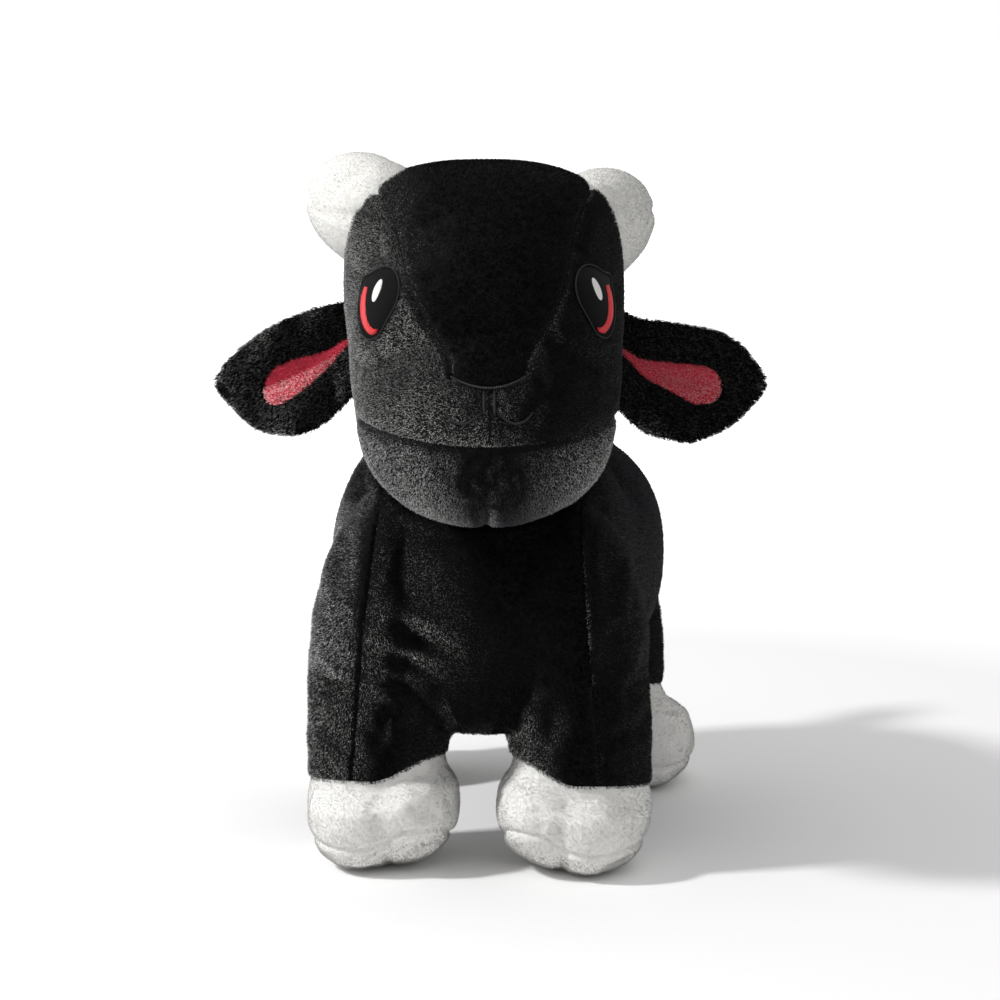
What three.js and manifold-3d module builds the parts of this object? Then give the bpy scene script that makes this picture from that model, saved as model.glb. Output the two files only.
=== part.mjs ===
// A standing plush goat: short-pile plush panels sewn over stuffing, with stitched eyes and nose.
// Millimetres, +Z up. The goat looks along -Y, its left side is +X and its soles stand on z = 0.
import * as THREE from "three";
import { mergeVertices } from "three/addons/utils/BufferGeometryUtils.js";
import Module from "manifold-3d";

const wasm = await Module();
wasm.setup();

// Cloth, seams and play
const COVER = 2.4; // plush cloth and its pile
const SEAM_GAP = 0.3; // left open between sewn neighbours
const THREAD = 0.8; // height of an embroidered patch
const BOWL_PLAY = 0.9; // between the head's ball and the torso's bowl
const CHIN_PLAY = 1.8; // between the chin and the chest all along the head's swing
const TAIL_PLAY = 0.4; // round the tail's root in its seat

// Head, measured from the middle of the neck ball
const NECK_BALL = 54; // radius of the round underside that sits in the torso
const NECK_Y = -66;
const NECK_Z = 200;
const HEAD_TURN = 7; // degrees to its own left, as it stands
const HEAD_SWING = 25; // degrees it can be turned each way
const HEAD_DIP = 5; // degrees it can be nodded down
const CROWN_HALF_WIDTH = 55.5;
const CROWN_HALF_LENGTH = 52;
const CROWN_HALF_HEIGHT = 54;
const CROWN_Y = 8;
const CROWN_Z = 46;
const CROWN_SQUARENESS = 2.8;
const CHEEK_HALF_WIDTH = 54.5;
const CHEEK_HALF_LENGTH = 50;
const CHEEK_HALF_HEIGHT = 48;
const CHEEK_Y = -20;
const CHEEK_Z = 22;
const CHEEK_SQUARENESS = 2.8;
const MUZZLE_HALF_WIDTH = 54;
const MUZZLE_HALF_LENGTH = 44;
const MUZZLE_HALF_HEIGHT = 43;
const MUZZLE_Y = -45;
const MUZZLE_Z = -4;
const MUZZLE_SQUARENESS = 2.1;
const MOUTH_Z = -8.5; // seam between upper face and chin
const CHIN_BACK_Y = -14; // where the chin panels end under the head
const GUSSET_HALF_WIDTH = 38; // face gusset at the crown
const GUSSET_TIP_Z = 8; // its point above the nose
const GUSSET_UPPER_RATIO = 0.94; // share of the width its upper edge still keeps at the crown's middle
const GUSSET_LOWER_RATIO = 0.6; // and half way down to the neck
const NECK_OPENING = 36; // radius of the hole in the head's cover
const NECK_LEAN = 30; // degrees the neck opening leans back from straight down
const WAD_RADIUS = 24;
const WAD_THICKNESS = 8;

// Eyes and nose, seen from the front
const EYE_X = 44;
const EYE_Z = 44;
const EYE_WIDTH = 17;
const EYE_HEIGHT = 29;
const CRESCENT_WIDTH = 3;
const HIGHLIGHT_WIDTH = 4.4;
const HIGHLIGHT_HEIGHT = 8.6;
const EYE_SLANT = 9; // degrees its top leans inward
const NOSE_Z = 15;
const NOSE_HALF_WIDTH = 15;
const NOSE_RISE = 4.5; // its ends above its middle
const PHILTRUM_LENGTH = 10;
const NOSTRIL_X = 11.5;
const NOSTRIL_Z = 2;
const NOSTRIL_HALF_WIDTH = 7.5;
const NOSTRIL_RISE = 4.5;
const STITCH_LINE = 2.2; // width of a stitched line

// Horns
const HORN_X = 40;
const HORN_Y = 18;
const HORN_BELOW_CROWN = 28; // its root below the crown's top
const HORN_REACH = 13; // out from the head's corner
const HORN_RISE = 8;
const HORN_LENGTH = 56; // how far it sweeps back
const HORN_RADIUS = 24;
const HORN_TIP_RADIUS = 12;
const HORN_DROP = 12; // its tip below the bend

// Ears, measured from their root seam
const EAR_Y = 14;
const EAR_Z = 17;
const EAR_LENGTH = 60;
const EAR_HALF_WIDTH = 22.5;
const EAR_ROOT_HALF = 14;
const EAR_LAYER = 3.6; // thickness of each of its two layers
const EAR_CUP = 9; // how far its edges curl forward
const EAR_DROOP = 21;
const EAR_DROOP_CURVE = 1.4; // above 1 it hangs more toward the tip
const EAR_TIP_SQUARENESS = 2.4;
const EAR_TIP_RATIO = 0.35; // of its thickness kept at the tip
const EAR_EDGE_RATIO = 0.94; // how far out to the edge the thickness falls away
const LINING_LENGTH = 39;
const LINING_HALF_WIDTH = 11;
const LINING_START = 4;

// Trunk
const SHOULDER_HALF_WIDTH = 70;
const SHOULDER_HALF_LENGTH = 64;
const SHOULDER_HALF_HEIGHT = 72;
const SHOULDER_Y = -34;
const SHOULDER_Z = 128;
const SHOULDER_SQUARENESS = 2.2;
const BARREL_HALF_WIDTH = 75;
const BARREL_HALF_LENGTH = 92;
const BARREL_HALF_HEIGHT = 60;
const BARREL_Y = 22;
const BARREL_Z = 116;
const BARREL_SQUARENESS = 2.4;
const BRISKET_HALF_WIDTH = 58;
const BRISKET_HALF_LENGTH = 44;
const BRISKET_HALF_HEIGHT = 40;
const BRISKET_Y = -56;
const BRISKET_Z = 94;
const BRISKET_SQUARENESS = 2.6;
const CHEST_SEAM_X = 45; // half the chest panel, half way up
const CHEST_SEAM_LEAN = 5; // degrees it widens downward
const CHEST_END_LEAN = 35; // degrees the chest panel's end leans back from the legs
const GUSSET_TOP_Z = 200; // top of the chest panel, under the head
const GUSSET_END_Y = 115; // end of the belly panel, under the tail
const GUSSET_END_Z = 80;

// Legs and hooves
const FRONT_LEG_X = 45;
const FRONT_LEG_Y = -74;
const REAR_LEG_X = 47;
const REAR_LEG_Y = 72;
const LEG_HALF_WIDTH = 28.5;
const LEG_HALF_LENGTH = 29;
const LEG_TOP_Z = 124;
const THIGH_Z = 86; // where a leg starts to run into the trunk
const FRONT_THIGH_IN = 4; // its middle at the top, inward of its foot
const REAR_THIGH_IN = 6;
const HOOF_SEAM_Z = 43; // seam between leg and hoof at the leg's middle
const HOOF_SEAM_TILT = 14; // degrees it rises to the inside
const FRONT_HOOF_IN = 3.5; // hoof set inward of its leg
const REAR_HOOF_OUT = 6; // hoof set outward of its leg
const HOOF_SHIFT_FRONT = 6; // and forward of it
const TOE_HALF_LENGTH = 33;
const TOE_HALF_HEIGHT = 22;
const OUTER_TOE_X = 8.5;
const OUTER_TOE_HALF_WIDTH = 22.5;
const INNER_TOE_X = 15;
const INNER_TOE_HALF_WIDTH = 16.5;
const ANKLE_SQUARENESS = 2;
const TOE_SQUARENESS = 2.2;
const SOLE_FLAT = 3; // pressed flat at the ground
const SOLE_HEIGHT = 14;
const ANKLE_PLAY = 0.3; // the hoof stands out round the leg
const LEG_REACH = 4; // a leg's cut reaches this far round it

// Tail
const TAIL_Z = 146;
const TAIL_LENGTH = 42;
const TAIL_RADIUS = 12;
const TAIL_TIP_RADIUS = 6;
const TAIL_LIFT = 48; // degrees above level
const TAIL_SINK = 6; // how deep its round root sits in the rump
const TAIL_OPENING = 5; // radius of the cover's opening at the root

const FIELD_SHARPNESS = 14; // how tightly neighbouring swells run into each other
const FORM_DETAIL = 3; // facets of the large stuffed forms
const SEAT_DETAIL = 2; // facets of the tail's seat
const LEG_FACETS = 12;
const HOOF_FACETS = 14;
const LIMB_FACETS = 10;
const LINE_STEPS = 4;
const SWING_STEPS = 6;
const TAIL_STEPS = 5;
const HORN_STEPS = 7;
const EAR_ROWS = 7;
const EAR_COLUMNS = 4;
const FAR = 600; // cutters reach past everything
const BEHIND_ALL = FAR / 2;
const degrees = THREE.MathUtils.degToRad;

function vector(x, y, z) {
  return new THREE.Vector3(x, y, z);
}

const RIGHTWARD = vector(-1, 0, 0);
const LEFTWARD = vector(1, 0, 0);
const FORWARD = vector(0, -1, 0);
const BACKWARD = vector(0, 1, 0);
const UPWARD = vector(0, 0, 1);
const DOWNWARD = vector(0, 0, -1);

// Turns a closed geometry into a solid that can be joined and cut.
function solid(geometry) {
  const bare = geometry.clone();
  for (const name of Object.keys(bare.attributes)) {
    if (name !== "position") bare.deleteAttribute(name);
  }
  const merged = mergeVertices(bare, 1e-4);
  const vertProperties = new Float32Array(merged.attributes.position.array);
  const triVerts = new Uint32Array(merged.index.array);
  return new wasm.Manifold(new wasm.Mesh({ numProp: 3, vertProperties, triVerts }));
}

// A solid from points and triangles, turned so that its faces point out.
function closedBody(points, triangles) {
  let volume = 0;
  for (let index = 0; index < triangles.length; index += 3) {
    const [a, b, c] = triangles.slice(index, index + 3).map((corner) => points[corner]);
    volume += a.dot(b.clone().cross(c));
  }
  if (volume < 0) triangles.reverse();
  const geometry = new THREE.BufferGeometry().setFromPoints(points);
  geometry.setIndex(triangles);
  return solid(geometry);
}

function placed(geometry, x, y, z) {
  geometry.translate(x, y, z);
  return solid(geometry);
}

// A swell is a rounded box: centre, half sizes and how square its corners are.
function swell(centre, half, squareness) {
  return { centre, half, squareness };
}

// Negative inside the joined swells, zero on their common skin.
function skinField(swells, point) {
  let sum = 0;
  for (const { centre, half, squareness } of swells) {
    const x = Math.abs((point.x - centre.x) / half.x) ** squareness;
    const y = Math.abs((point.y - centre.y) / half.y) ** squareness;
    const z = Math.abs((point.z - centre.z) / half.z) ** squareness;
    sum += Math.exp(-FIELD_SHARPNESS * ((x + y + z) ** (1 / squareness) - 1));
  }
  return -Math.log(sum) / FIELD_SHARPNESS;
}

// The point where a ray from inside leaves the skin.
function skinPoint(swells, start, direction) {
  let near = 0;
  let far = FAR;
  for (let step = 0; step < 40; step += 1) {
    const middle = (near + far) / 2;
    const inside = skinField(swells, start.clone().addScaledVector(direction, middle)) < 0;
    if (inside) near = middle;
    else far = middle;
  }
  return start.clone().addScaledVector(direction, near);
}

function skinNormal(swells, point) {
  const slope = ["x", "y", "z"].map((axis) => {
    const ahead = point.clone();
    const behind = point.clone();
    ahead[axis] += 0.05;
    behind[axis] -= 0.05;
    return skinField(swells, ahead) - skinField(swells, behind);
  });
  return new THREE.Vector3(...slope).normalize();
}

// A stuffed form: every direction from its middle is carried out to the skin, then in or out by offset.
function formSkin(swells, middle, detail, offset) {
  const geometry = new THREE.IcosahedronGeometry(1, detail);
  const position = geometry.attributes.position;
  const direction = new THREE.Vector3();
  for (let index = 0; index < position.count; index += 1) {
    direction.fromBufferAttribute(position, index).normalize();
    const point = skinPoint(swells, middle, direction);
    point.addScaledVector(skinNormal(swells, point), offset);
    position.setXYZ(index, point.x, point.y, point.z);
  }
  return geometry;
}

function stuffedForm(swells, middle, detail, offset) {
  return solid(formSkin(swells, middle, detail, offset));
}

// A closed skin through rings of equal count. Its ends are drawn to a point, or meet as in a tube's wall.
function loft(rings, endsMeet = false) {
  const count = rings[0].length;
  const points = rings.flat();
  const triangles = [];
  const bands = endsMeet ? rings.length : rings.length - 1;
  for (let row = 0; row < bands; row += 1) {
    const next = (row + 1) % rings.length;
    for (let side = 0; side < count; side += 1) {
      const beside = (side + 1) % count;
      const a = row * count + side;
      const b = row * count + beside;
      const c = next * count + side;
      const d = next * count + beside;
      const shortCut = points[b].distanceTo(points[c]) < points[a].distanceTo(points[d]);
      triangles.push(...(shortCut ? [a, b, c, b, d, c] : [a, b, d, a, d, c]));
    }
  }
  if (endsMeet) return closedBody(points, triangles);
  for (const row of [0, rings.length - 1]) {
    const hub = points.length;
    const middle = new THREE.Vector3();
    rings[row].forEach((point) => middle.addScaledVector(point, 1 / count));
    points.push(middle);
    for (let side = 0; side < count; side += 1) {
      const a = row * count + side;
      const b = row * count + ((side + 1) % count);
      triangles.push(...(row === 0 ? [b, a, hub] : [a, b, hub]));
    }
  }
  return closedBody(points, triangles);
}

// A round limb along a curve, drawn in by inset all round, its radius given along the way.
function limb(curve, radiusAt, inset, steps) {
  const length = curve.getLength();
  const rings = [];
  for (let step = 0; step <= steps; step += 1) {
    const along = 0.5 - 0.5 * Math.cos((Math.PI * (step + 0.35)) / (steps + 0.7));
    const place = (inset + along * (length - 2 * inset)) / length;
    const middle = curve.getPointAt(place);
    const ahead = curve.getTangentAt(place);
    const aside = new THREE.Vector3().crossVectors(ahead, UPWARD).normalize();
    const above = new THREE.Vector3().crossVectors(aside, ahead);
    const radius = radiusAt(along, length - 2 * inset);
    const ring = [];
    for (let side = 0; side < LIMB_FACETS; side += 1) {
      const turn = (2 * Math.PI * side) / LIMB_FACETS;
      const point = middle.clone().addScaledVector(aside, radius * Math.cos(turn));
      ring.push(point.addScaledVector(above, radius * Math.sin(turn)));
    }
    rings.push(ring);
  }
  return loft(rings);
}

// Radius of a tapering limb with domed ends.
function tapered(rootRadius, tipRadius, inset) {
  return (along, length) => {
    const radius = THREE.MathUtils.lerp(rootRadius, tipRadius, along) - inset;
    const rootDome = Math.min(1, (along * length) / radius);
    const tipDome = Math.min(1, ((1 - along) * length) / radius);
    return radius * Math.sqrt(1 - (1 - rootDome) ** 2) * Math.sqrt(1 - (1 - tipDome) ** 2);
  };
}

// Everything on the far side of a plane, as a large block.
function beyond(point, normal) {
  const block = new THREE.BoxGeometry(2 * FAR, 2 * FAR, FAR);
  block.translate(0, 0, FAR / 2);
  block.applyQuaternion(new THREE.Quaternion().setFromUnitVectors(UPWARD, normal));
  block.translate(point.x, point.y, point.z);
  return solid(block);
}

// A flat outline in front view, carried along Y from backEnd toward the front.
function frontCutter(outline, backEnd) {
  const geometry = new THREE.ExtrudeGeometry(outline, {
    depth: FAR,
    bevelEnabled: false,
    curveSegments: LINE_STEPS,
  });
  geometry.rotateX(Math.PI / 2);
  return placed(geometry, 0, backEnd, 0);
}

function ellipseOutline(x, z, halfWidth, halfHeight, slant) {
  const outline = new THREE.Shape();
  outline.absellipse(x, z, halfWidth, halfHeight, 0, 2 * Math.PI, false, slant);
  return outline;
}

// A stitched line of even width that sags from two raised ends to its middle.
function saggingLine(x, z, halfWidth, rise) {
  const upper = [];
  const lower = [];
  for (let step = -LINE_STEPS; step <= LINE_STEPS; step += 2) {
    const across = step / LINE_STEPS;
    const height = z + rise * across * across;
    upper.push(new THREE.Vector2(x + halfWidth * across, height + STITCH_LINE / 2));
    lower.unshift(new THREE.Vector2(x + halfWidth * across, height - STITCH_LINE / 2));
  }
  return new THREE.Shape([...upper, ...lower]);
}

// Materials
const blackPlush = { color: 0x17171a, roughness: 0.9, metalness: 0 };
const greyPlush = { color: 0xb9b7b4, roughness: 0.9, metalness: 0 };
const pinkPlush = { color: 0xd9848c, roughness: 0.9, metalness: 0 };
const filling = { color: 0xf2f0ea, roughness: 1, metalness: 0 };
const blackThread = { color: 0x0d0d0f, roughness: 0.45, metalness: 0 };
const redThread = { color: 0xb3202c, roughness: 0.45, metalness: 0 };
const whiteThread = { color: 0xf4f3f0, roughness: 0.45, metalness: 0 };

function piece(name, body, look) {
  const { vertProperties, triVerts, numProp } = body.getMesh();
  const positions = new Float32Array((vertProperties.length / numProp) * 3);
  for (let index = 0; index < positions.length / 3; index += 1) {
    positions.set(vertProperties.subarray(index * numProp, index * numProp + 3), index * 3);
  }
  const geometry = new THREE.BufferGeometry();
  geometry.setAttribute("position", new THREE.BufferAttribute(positions, 3));
  geometry.setIndex(Array.from(triVerts));
  const mesh = new THREE.Mesh(geometry, new THREE.MeshStandardMaterial(look));
  mesh.name = name;
  return mesh;
}

const SIDES = [["left", 1], ["right", -1]];
const goat = new THREE.Group();

// The head's crown, cheeks and muzzle
const headSwells = [
  swell(
    vector(0, CROWN_Y, CROWN_Z),
    vector(CROWN_HALF_WIDTH, CROWN_HALF_LENGTH, CROWN_HALF_HEIGHT),
    CROWN_SQUARENESS,
  ),
  swell(
    vector(0, CHEEK_Y, CHEEK_Z),
    vector(CHEEK_HALF_WIDTH, CHEEK_HALF_LENGTH, CHEEK_HALF_HEIGHT),
    CHEEK_SQUARENESS,
  ),
  swell(
    vector(0, MUZZLE_Y, MUZZLE_Z),
    vector(MUZZLE_HALF_WIDTH, MUZZLE_HALF_LENGTH, MUZZLE_HALF_HEIGHT),
    MUZZLE_SQUARENESS,
  ),
];
const headMiddle = vector(0, (CROWN_Y + MUZZLE_Y) / 2, (CROWN_Z + MUZZLE_Z) / 2);

// Trunk and legs
const trunkSwells = [
  swell(
    vector(0, SHOULDER_Y, SHOULDER_Z),
    vector(SHOULDER_HALF_WIDTH, SHOULDER_HALF_LENGTH, SHOULDER_HALF_HEIGHT),
    SHOULDER_SQUARENESS,
  ),
  swell(
    vector(0, BARREL_Y, BARREL_Z),
    vector(BARREL_HALF_WIDTH, BARREL_HALF_LENGTH, BARREL_HALF_HEIGHT),
    BARREL_SQUARENESS,
  ),
  swell(
    vector(0, BRISKET_Y, BRISKET_Z),
    vector(BRISKET_HALF_WIDTH, BRISKET_HALF_LENGTH, BRISKET_HALF_HEIGHT),
    BRISKET_SQUARENESS,
  ),
];
const trunkMiddle = vector(0, (SHOULDER_Y + BARREL_Y) / 2, BARREL_Z);
const legPlaces = [];
for (const [side, sign] of SIDES) {
  legPlaces.push({
    name: `front_${side}`,
    sign,
    x: sign * FRONT_LEG_X,
    y: FRONT_LEG_Y,
    thighX: sign * (FRONT_LEG_X - FRONT_THIGH_IN),
    hoofX: sign * (FRONT_LEG_X - FRONT_HOOF_IN),
  });
  legPlaces.push({
    name: `rear_${side}`,
    sign,
    x: sign * REAR_LEG_X,
    y: REAR_LEG_Y,
    thighX: sign * (REAR_LEG_X - REAR_THIGH_IN),
    hoofX: sign * (REAR_LEG_X + REAR_HOOF_OUT),
  });
}

// A leg is round and even from the hoof to the thigh, then domes over inside the trunk.
function legForm({ x, y, thighX }, inset) {
  const rings = [0, HOOF_SEAM_Z, THIGH_Z, (THIGH_Z + LEG_TOP_Z) / 2, LEG_TOP_Z - LEG_REACH].map((z) => {
    const dome = Math.max(0, (z - THIGH_Z) / (LEG_TOP_Z - THIGH_Z));
    const width = (LEG_HALF_WIDTH - inset) * Math.sqrt(1 - dome * dome);
    const length = (LEG_HALF_LENGTH - inset) * Math.sqrt(1 - dome * dome);
    const climb = Math.max(0, z - HOOF_SEAM_Z) / (LEG_TOP_Z - HOOF_SEAM_Z);
    const middle = THREE.MathUtils.lerp(x, thighX, climb);
    const ring = [];
    for (let side = 0; side < LEG_FACETS; side += 1) {
      const turn = (2 * Math.PI * side) / LEG_FACETS;
      ring.push(vector(middle + width * Math.cos(turn), y + length * Math.sin(turn), z));
    }
    return ring;
  });
  return loft(rings);
}

// What lies below the tilted seam between a leg and its hoof.
function belowHoofSeam({ x, y, sign }) {
  const tilt = degrees(HOOF_SEAM_TILT);
  return beyond(vector(x, y, HOOF_SEAM_Z), vector(-sign * Math.sin(tilt), 0, -Math.cos(tilt)));
}

// The same cut, kept to the leg itself so that it leaves the belly alone.
function legEnd(place) {
  const width = 2 * (LEG_HALF_WIDTH + LEG_REACH);
  const length = 2 * (LEG_HALF_LENGTH + LEG_REACH);
  const surround = new THREE.BoxGeometry(width, length, 2 * LEG_TOP_Z);
  return belowHoofSeam(place).intersect(placed(surround, place.x, place.y, 0));
}

const neckPoint = vector(0, NECK_Y, NECK_Z);

function neckBall(radius) {
  return placed(new THREE.IcosahedronGeometry(radius, FORM_DETAIL), 0, NECK_Y, NECK_Z);
}

function trunkForm(inset) {
  return stuffedForm(trunkSwells, trunkMiddle, FORM_DETAIL, -inset);
}

// The tail's round root sits in a shallow seat on the rump.
const tailSeat = skinPoint(trunkSwells, vector(0, BARREL_Y, TAIL_Z), BACKWARD);
const tailRoot = tailSeat.clone();
tailRoot.addScaledVector(skinNormal(trunkSwells, tailSeat), TAIL_RADIUS - TAIL_SINK);

// The room that the face and chin sweep through as the head turns, level and nodded down.
function chinSweep() {
  let room = neckBall(NECK_BALL + BOWL_PLAY);
  for (let step = 0; step <= SWING_STEPS; step += 1) {
    const swing = THREE.MathUtils.lerp(-HEAD_SWING, HEAD_SWING, step / SWING_STEPS);
    for (const dip of [0, HEAD_DIP]) {
      const face = formSkin(headSwells, headMiddle, FORM_DETAIL, CHIN_PLAY);
      face.rotateX(degrees(dip));
      face.rotateZ(degrees(HEAD_TURN + swing));
      room = room.add(placed(face, 0, NECK_Y, NECK_Z));
    }
  }
  return room;
}

// The neck bowl, the chin's sweep and the tail's seat end the trunk's cover and stuffing alike.
const headRoom = chinSweep();

function trunkTrimmed(form) {
  const tailBall = new THREE.IcosahedronGeometry(TAIL_RADIUS + TAIL_PLAY, SEAT_DETAIL);
  const seated = form.subtract(placed(tailBall, tailRoot.x, tailRoot.y, tailRoot.z));
  return seated.subtract(headRoom);
}

// The chest and belly lie between two leaning side seams and under a slope from throat to tail.
function gussetSpace(margin) {
  const lean = degrees(CHEST_SEAM_LEAN);
  const slope = vector(0, GUSSET_TOP_Z - GUSSET_END_Z, GUSSET_END_Y - NECK_Y).normalize();
  const top = vector(0, GUSSET_END_Y, GUSSET_END_Z).addScaledVector(slope, margin);
  let space = beyond(top, slope.clone().negate());
  for (const [, sign] of SIDES) {
    const outward = vector(sign * Math.cos(lean), 0, Math.sin(lean));
    const seam = vector(sign * CHEST_SEAM_X, 0, SHOULDER_Z).addScaledVector(outward, margin);
    space = space.subtract(beyond(seam, outward));
  }
  return space;
}

// The trunk's cover has a hole for each leg's core, and the stuffing runs through it.
let trunkCover = trunkForm(0).subtract(trunkForm(COVER));
let torsoStuffing = trunkForm(COVER + SEAM_GAP);
for (const place of legPlaces) {
  trunkCover = trunkCover.subtract(legForm(place, COVER));
  torsoStuffing = torsoStuffing.add(legForm(place, COVER + SEAM_GAP).subtract(legEnd(place)));
}
trunkCover = trunkTrimmed(trunkCover);
const trunkGusset = trunkCover.intersect(gussetSpace(-SEAM_GAP / 2));
const trunkSides = trunkCover.subtract(gussetSpace(SEAM_GAP / 2));

// The chest panel ends at a plane that leans back from the middle of the front legs.
function pastChestEnd(normal) {
  return beyond(vector(0, FRONT_LEG_Y, HOOF_SEAM_Z).addScaledVector(normal, -SEAM_GAP / 2), normal);
}

function leftOf(x) {
  return beyond(vector(x, 0, 0), LEFTWARD);
}

function rightOf(x) {
  return beyond(vector(x, 0, 0), RIGHTWARD);
}

const chestEnd = vector(0, Math.cos(degrees(CHEST_END_LEAN)), -Math.sin(degrees(CHEST_END_LEAN)));
const torso = new THREE.Group();
goat.add(torso);
torso.add(
  piece("chest_panel", trunkGusset.subtract(pastChestEnd(chestEnd)), blackPlush),
  piece("belly_panel", trunkGusset.subtract(pastChestEnd(chestEnd.clone().negate())), blackPlush),
  piece("side_panel_left", trunkSides.intersect(leftOf(SEAM_GAP / 2)), blackPlush),
  piece("side_panel_right", trunkSides.intersect(rightOf(-SEAM_GAP / 2)), blackPlush),
  piece("torso_stuffing", trunkTrimmed(torsoStuffing), filling),
);

// Leg covers, cut where they meet the trunk and the hoof
const trunkSeat = trunkForm(-SEAM_GAP);
for (const place of legPlaces) {
  const tube = legForm(place, 0).subtract(legForm(place, COVER));
  torso.add(piece(`leg_cover_${place.name}`, tube.subtract(trunkSeat).subtract(legEnd(place)), blackPlush));
}

// Hooves: an ankle over two toes, pressed flat on the ground
function hoofSwells({ x, y, sign, hoofX }) {
  const along = y - HOOF_SHIFT_FRONT;
  const toeZ = TOE_HALF_HEIGHT - SOLE_FLAT;
  const ankle = vector(LEG_HALF_WIDTH + ANKLE_PLAY, LEG_HALF_LENGTH + ANKLE_PLAY, TOE_HALF_HEIGHT);
  const outerToe = vector(OUTER_TOE_HALF_WIDTH, TOE_HALF_LENGTH, TOE_HALF_HEIGHT);
  const innerToe = vector(INNER_TOE_HALF_WIDTH, TOE_HALF_LENGTH, TOE_HALF_HEIGHT);
  return [
    swell(vector(x, y, HOOF_SEAM_Z), ankle, ANKLE_SQUARENESS),
    swell(vector(hoofX + sign * OUTER_TOE_X, along, toeZ), outerToe, TOE_SQUARENESS),
    swell(vector(hoofX - sign * INNER_TOE_X, along, toeZ), innerToe, TOE_SQUARENESS),
  ];
}

// A hoof's outline at one height, drawn in by inset.
function hoofRing(place, height, inset) {
  const middle = vector(THREE.MathUtils.lerp(place.hoofX, place.x, height / HOOF_SEAM_Z), place.y, height);
  const ring = [];
  for (let side = 0; side < HOOF_FACETS; side += 1) {
    const turn = (2 * Math.PI * side) / HOOF_FACETS - Math.PI / 2;
    const outward = vector(Math.cos(turn), Math.sin(turn), 0);
    ring.push(skinPoint(hoofSwells(place), middle, outward).addScaledVector(outward, -inset));
  }
  return ring;
}

// The top edge follows the tilted seam under the leg.
function hoofTopRing(place, inset) {
  const slope = Math.tan(degrees(HOOF_SEAM_TILT));
  const ring = hoofRing(place, HOOF_SEAM_Z, inset);
  for (const point of ring) {
    point.z = HOOF_SEAM_Z - SEAM_GAP - place.sign * slope * (point.x - place.x);
  }
  return ring;
}

const soleTop = SOLE_HEIGHT - SEAM_GAP / 2;
const upperFoot = SOLE_HEIGHT + SEAM_GAP / 2;
const toeTop = (SOLE_HEIGHT + HOOF_SEAM_Z) / 2;
for (const place of legPlaces) {
  const ring = (height, inset) => hoofRing(place, height, inset);
  const outer = [ring(upperFoot, 0), ring(toeTop, 0), hoofTopRing(place, 0)];
  const inner = [hoofTopRing(place, COVER), ring(toeTop, COVER), ring(upperFoot, COVER)];
  const dish = [
    ring(COVER, COVER),
    ring(soleTop, COVER),
    ring(soleTop, 0),
    ring(SOLE_HEIGHT / 3, 0),
    ring(0, 0),
  ];
  const inside = COVER + 2 * SEAM_GAP;
  const wad = [
    ring(inside, 2 * COVER),
    ring(upperFoot, inside),
    ring(toeTop, inside),
    hoofTopRing(place, inside),
  ];
  torso.add(
    piece(`hoof_upper_${place.name}`, loft([...outer, ...inner], true), greyPlush),
    piece(`hoof_sole_${place.name}`, loft(dish), greyPlush),
    piece(`hoof_stuffing_${place.name}`, loft(wad), filling),
  );
}

// Tail: a tapering stub with a round root
const tailAim = vector(0, Math.cos(degrees(TAIL_LIFT)), Math.sin(degrees(TAIL_LIFT)));

function tailForm(inset) {
  const start = tailAim.clone().multiplyScalar(-TAIL_RADIUS);
  const end = tailAim.clone().multiplyScalar(TAIL_LENGTH - TAIL_RADIUS);
  const radiusAt = tapered(TAIL_RADIUS, TAIL_TIP_RADIUS, inset);
  return limb(new THREE.LineCurve3(start, end), radiusAt, inset, TAIL_STEPS);
}

// A round peg from the origin straight out along a direction.
function peg(radius, aim) {
  const geometry = new THREE.CylinderGeometry(radius, radius, FAR, HOOF_FACETS);
  geometry.translate(0, FAR / 2, 0);
  geometry.applyQuaternion(new THREE.Quaternion().setFromUnitVectors(BACKWARD, aim));
  return solid(geometry);
}

const tail = new THREE.Group();
tail.position.copy(tailRoot);
goat.add(tail);
const tailHole = peg(TAIL_OPENING, tailAim.clone().negate());
tail.add(
  piece("tail_cover", tailForm(0).subtract(tailForm(COVER)).subtract(tailHole), blackPlush),
  piece("tail_stuffing", tailForm(COVER + SEAM_GAP), filling),
);

// Head: its cover and stuffing over the neck ball
function ball(radius) {
  return solid(new THREE.IcosahedronGeometry(radius, FORM_DETAIL));
}

function headForm(offset) {
  return stuffedForm(headSwells, headMiddle, FORM_DETAIL, offset).add(ball(NECK_BALL + offset));
}

// The face gusset narrows from the crown to a point above the nose.
function gussetOutline(margin) {
  const side = GUSSET_HALF_WIDTH + margin;
  const top = CROWN_Z + CROWN_HALF_HEIGHT / 2;
  const tip = GUSSET_TIP_Z - margin;
  const bend = CROWN_Z / 2;
  const upper = side * GUSSET_UPPER_RATIO;
  const lower = side * GUSSET_LOWER_RATIO;
  const outline = new THREE.Shape();
  outline.moveTo(side, FAR);
  outline.lineTo(side, top);
  outline.bezierCurveTo(upper, CROWN_Z, lower, bend, STITCH_LINE, tip);
  outline.lineTo(-STITCH_LINE, tip);
  outline.bezierCurveTo(-lower, bend, -upper, CROWN_Z, -side, top);
  outline.lineTo(-side, FAR);
  return outline;
}

function chinSpace(margin) {
  const under = beyond(vector(0, 0, MOUTH_Z + margin), DOWNWARD);
  return under.intersect(beyond(vector(0, CHIN_BACK_Y + margin, 0), FORWARD));
}

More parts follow.
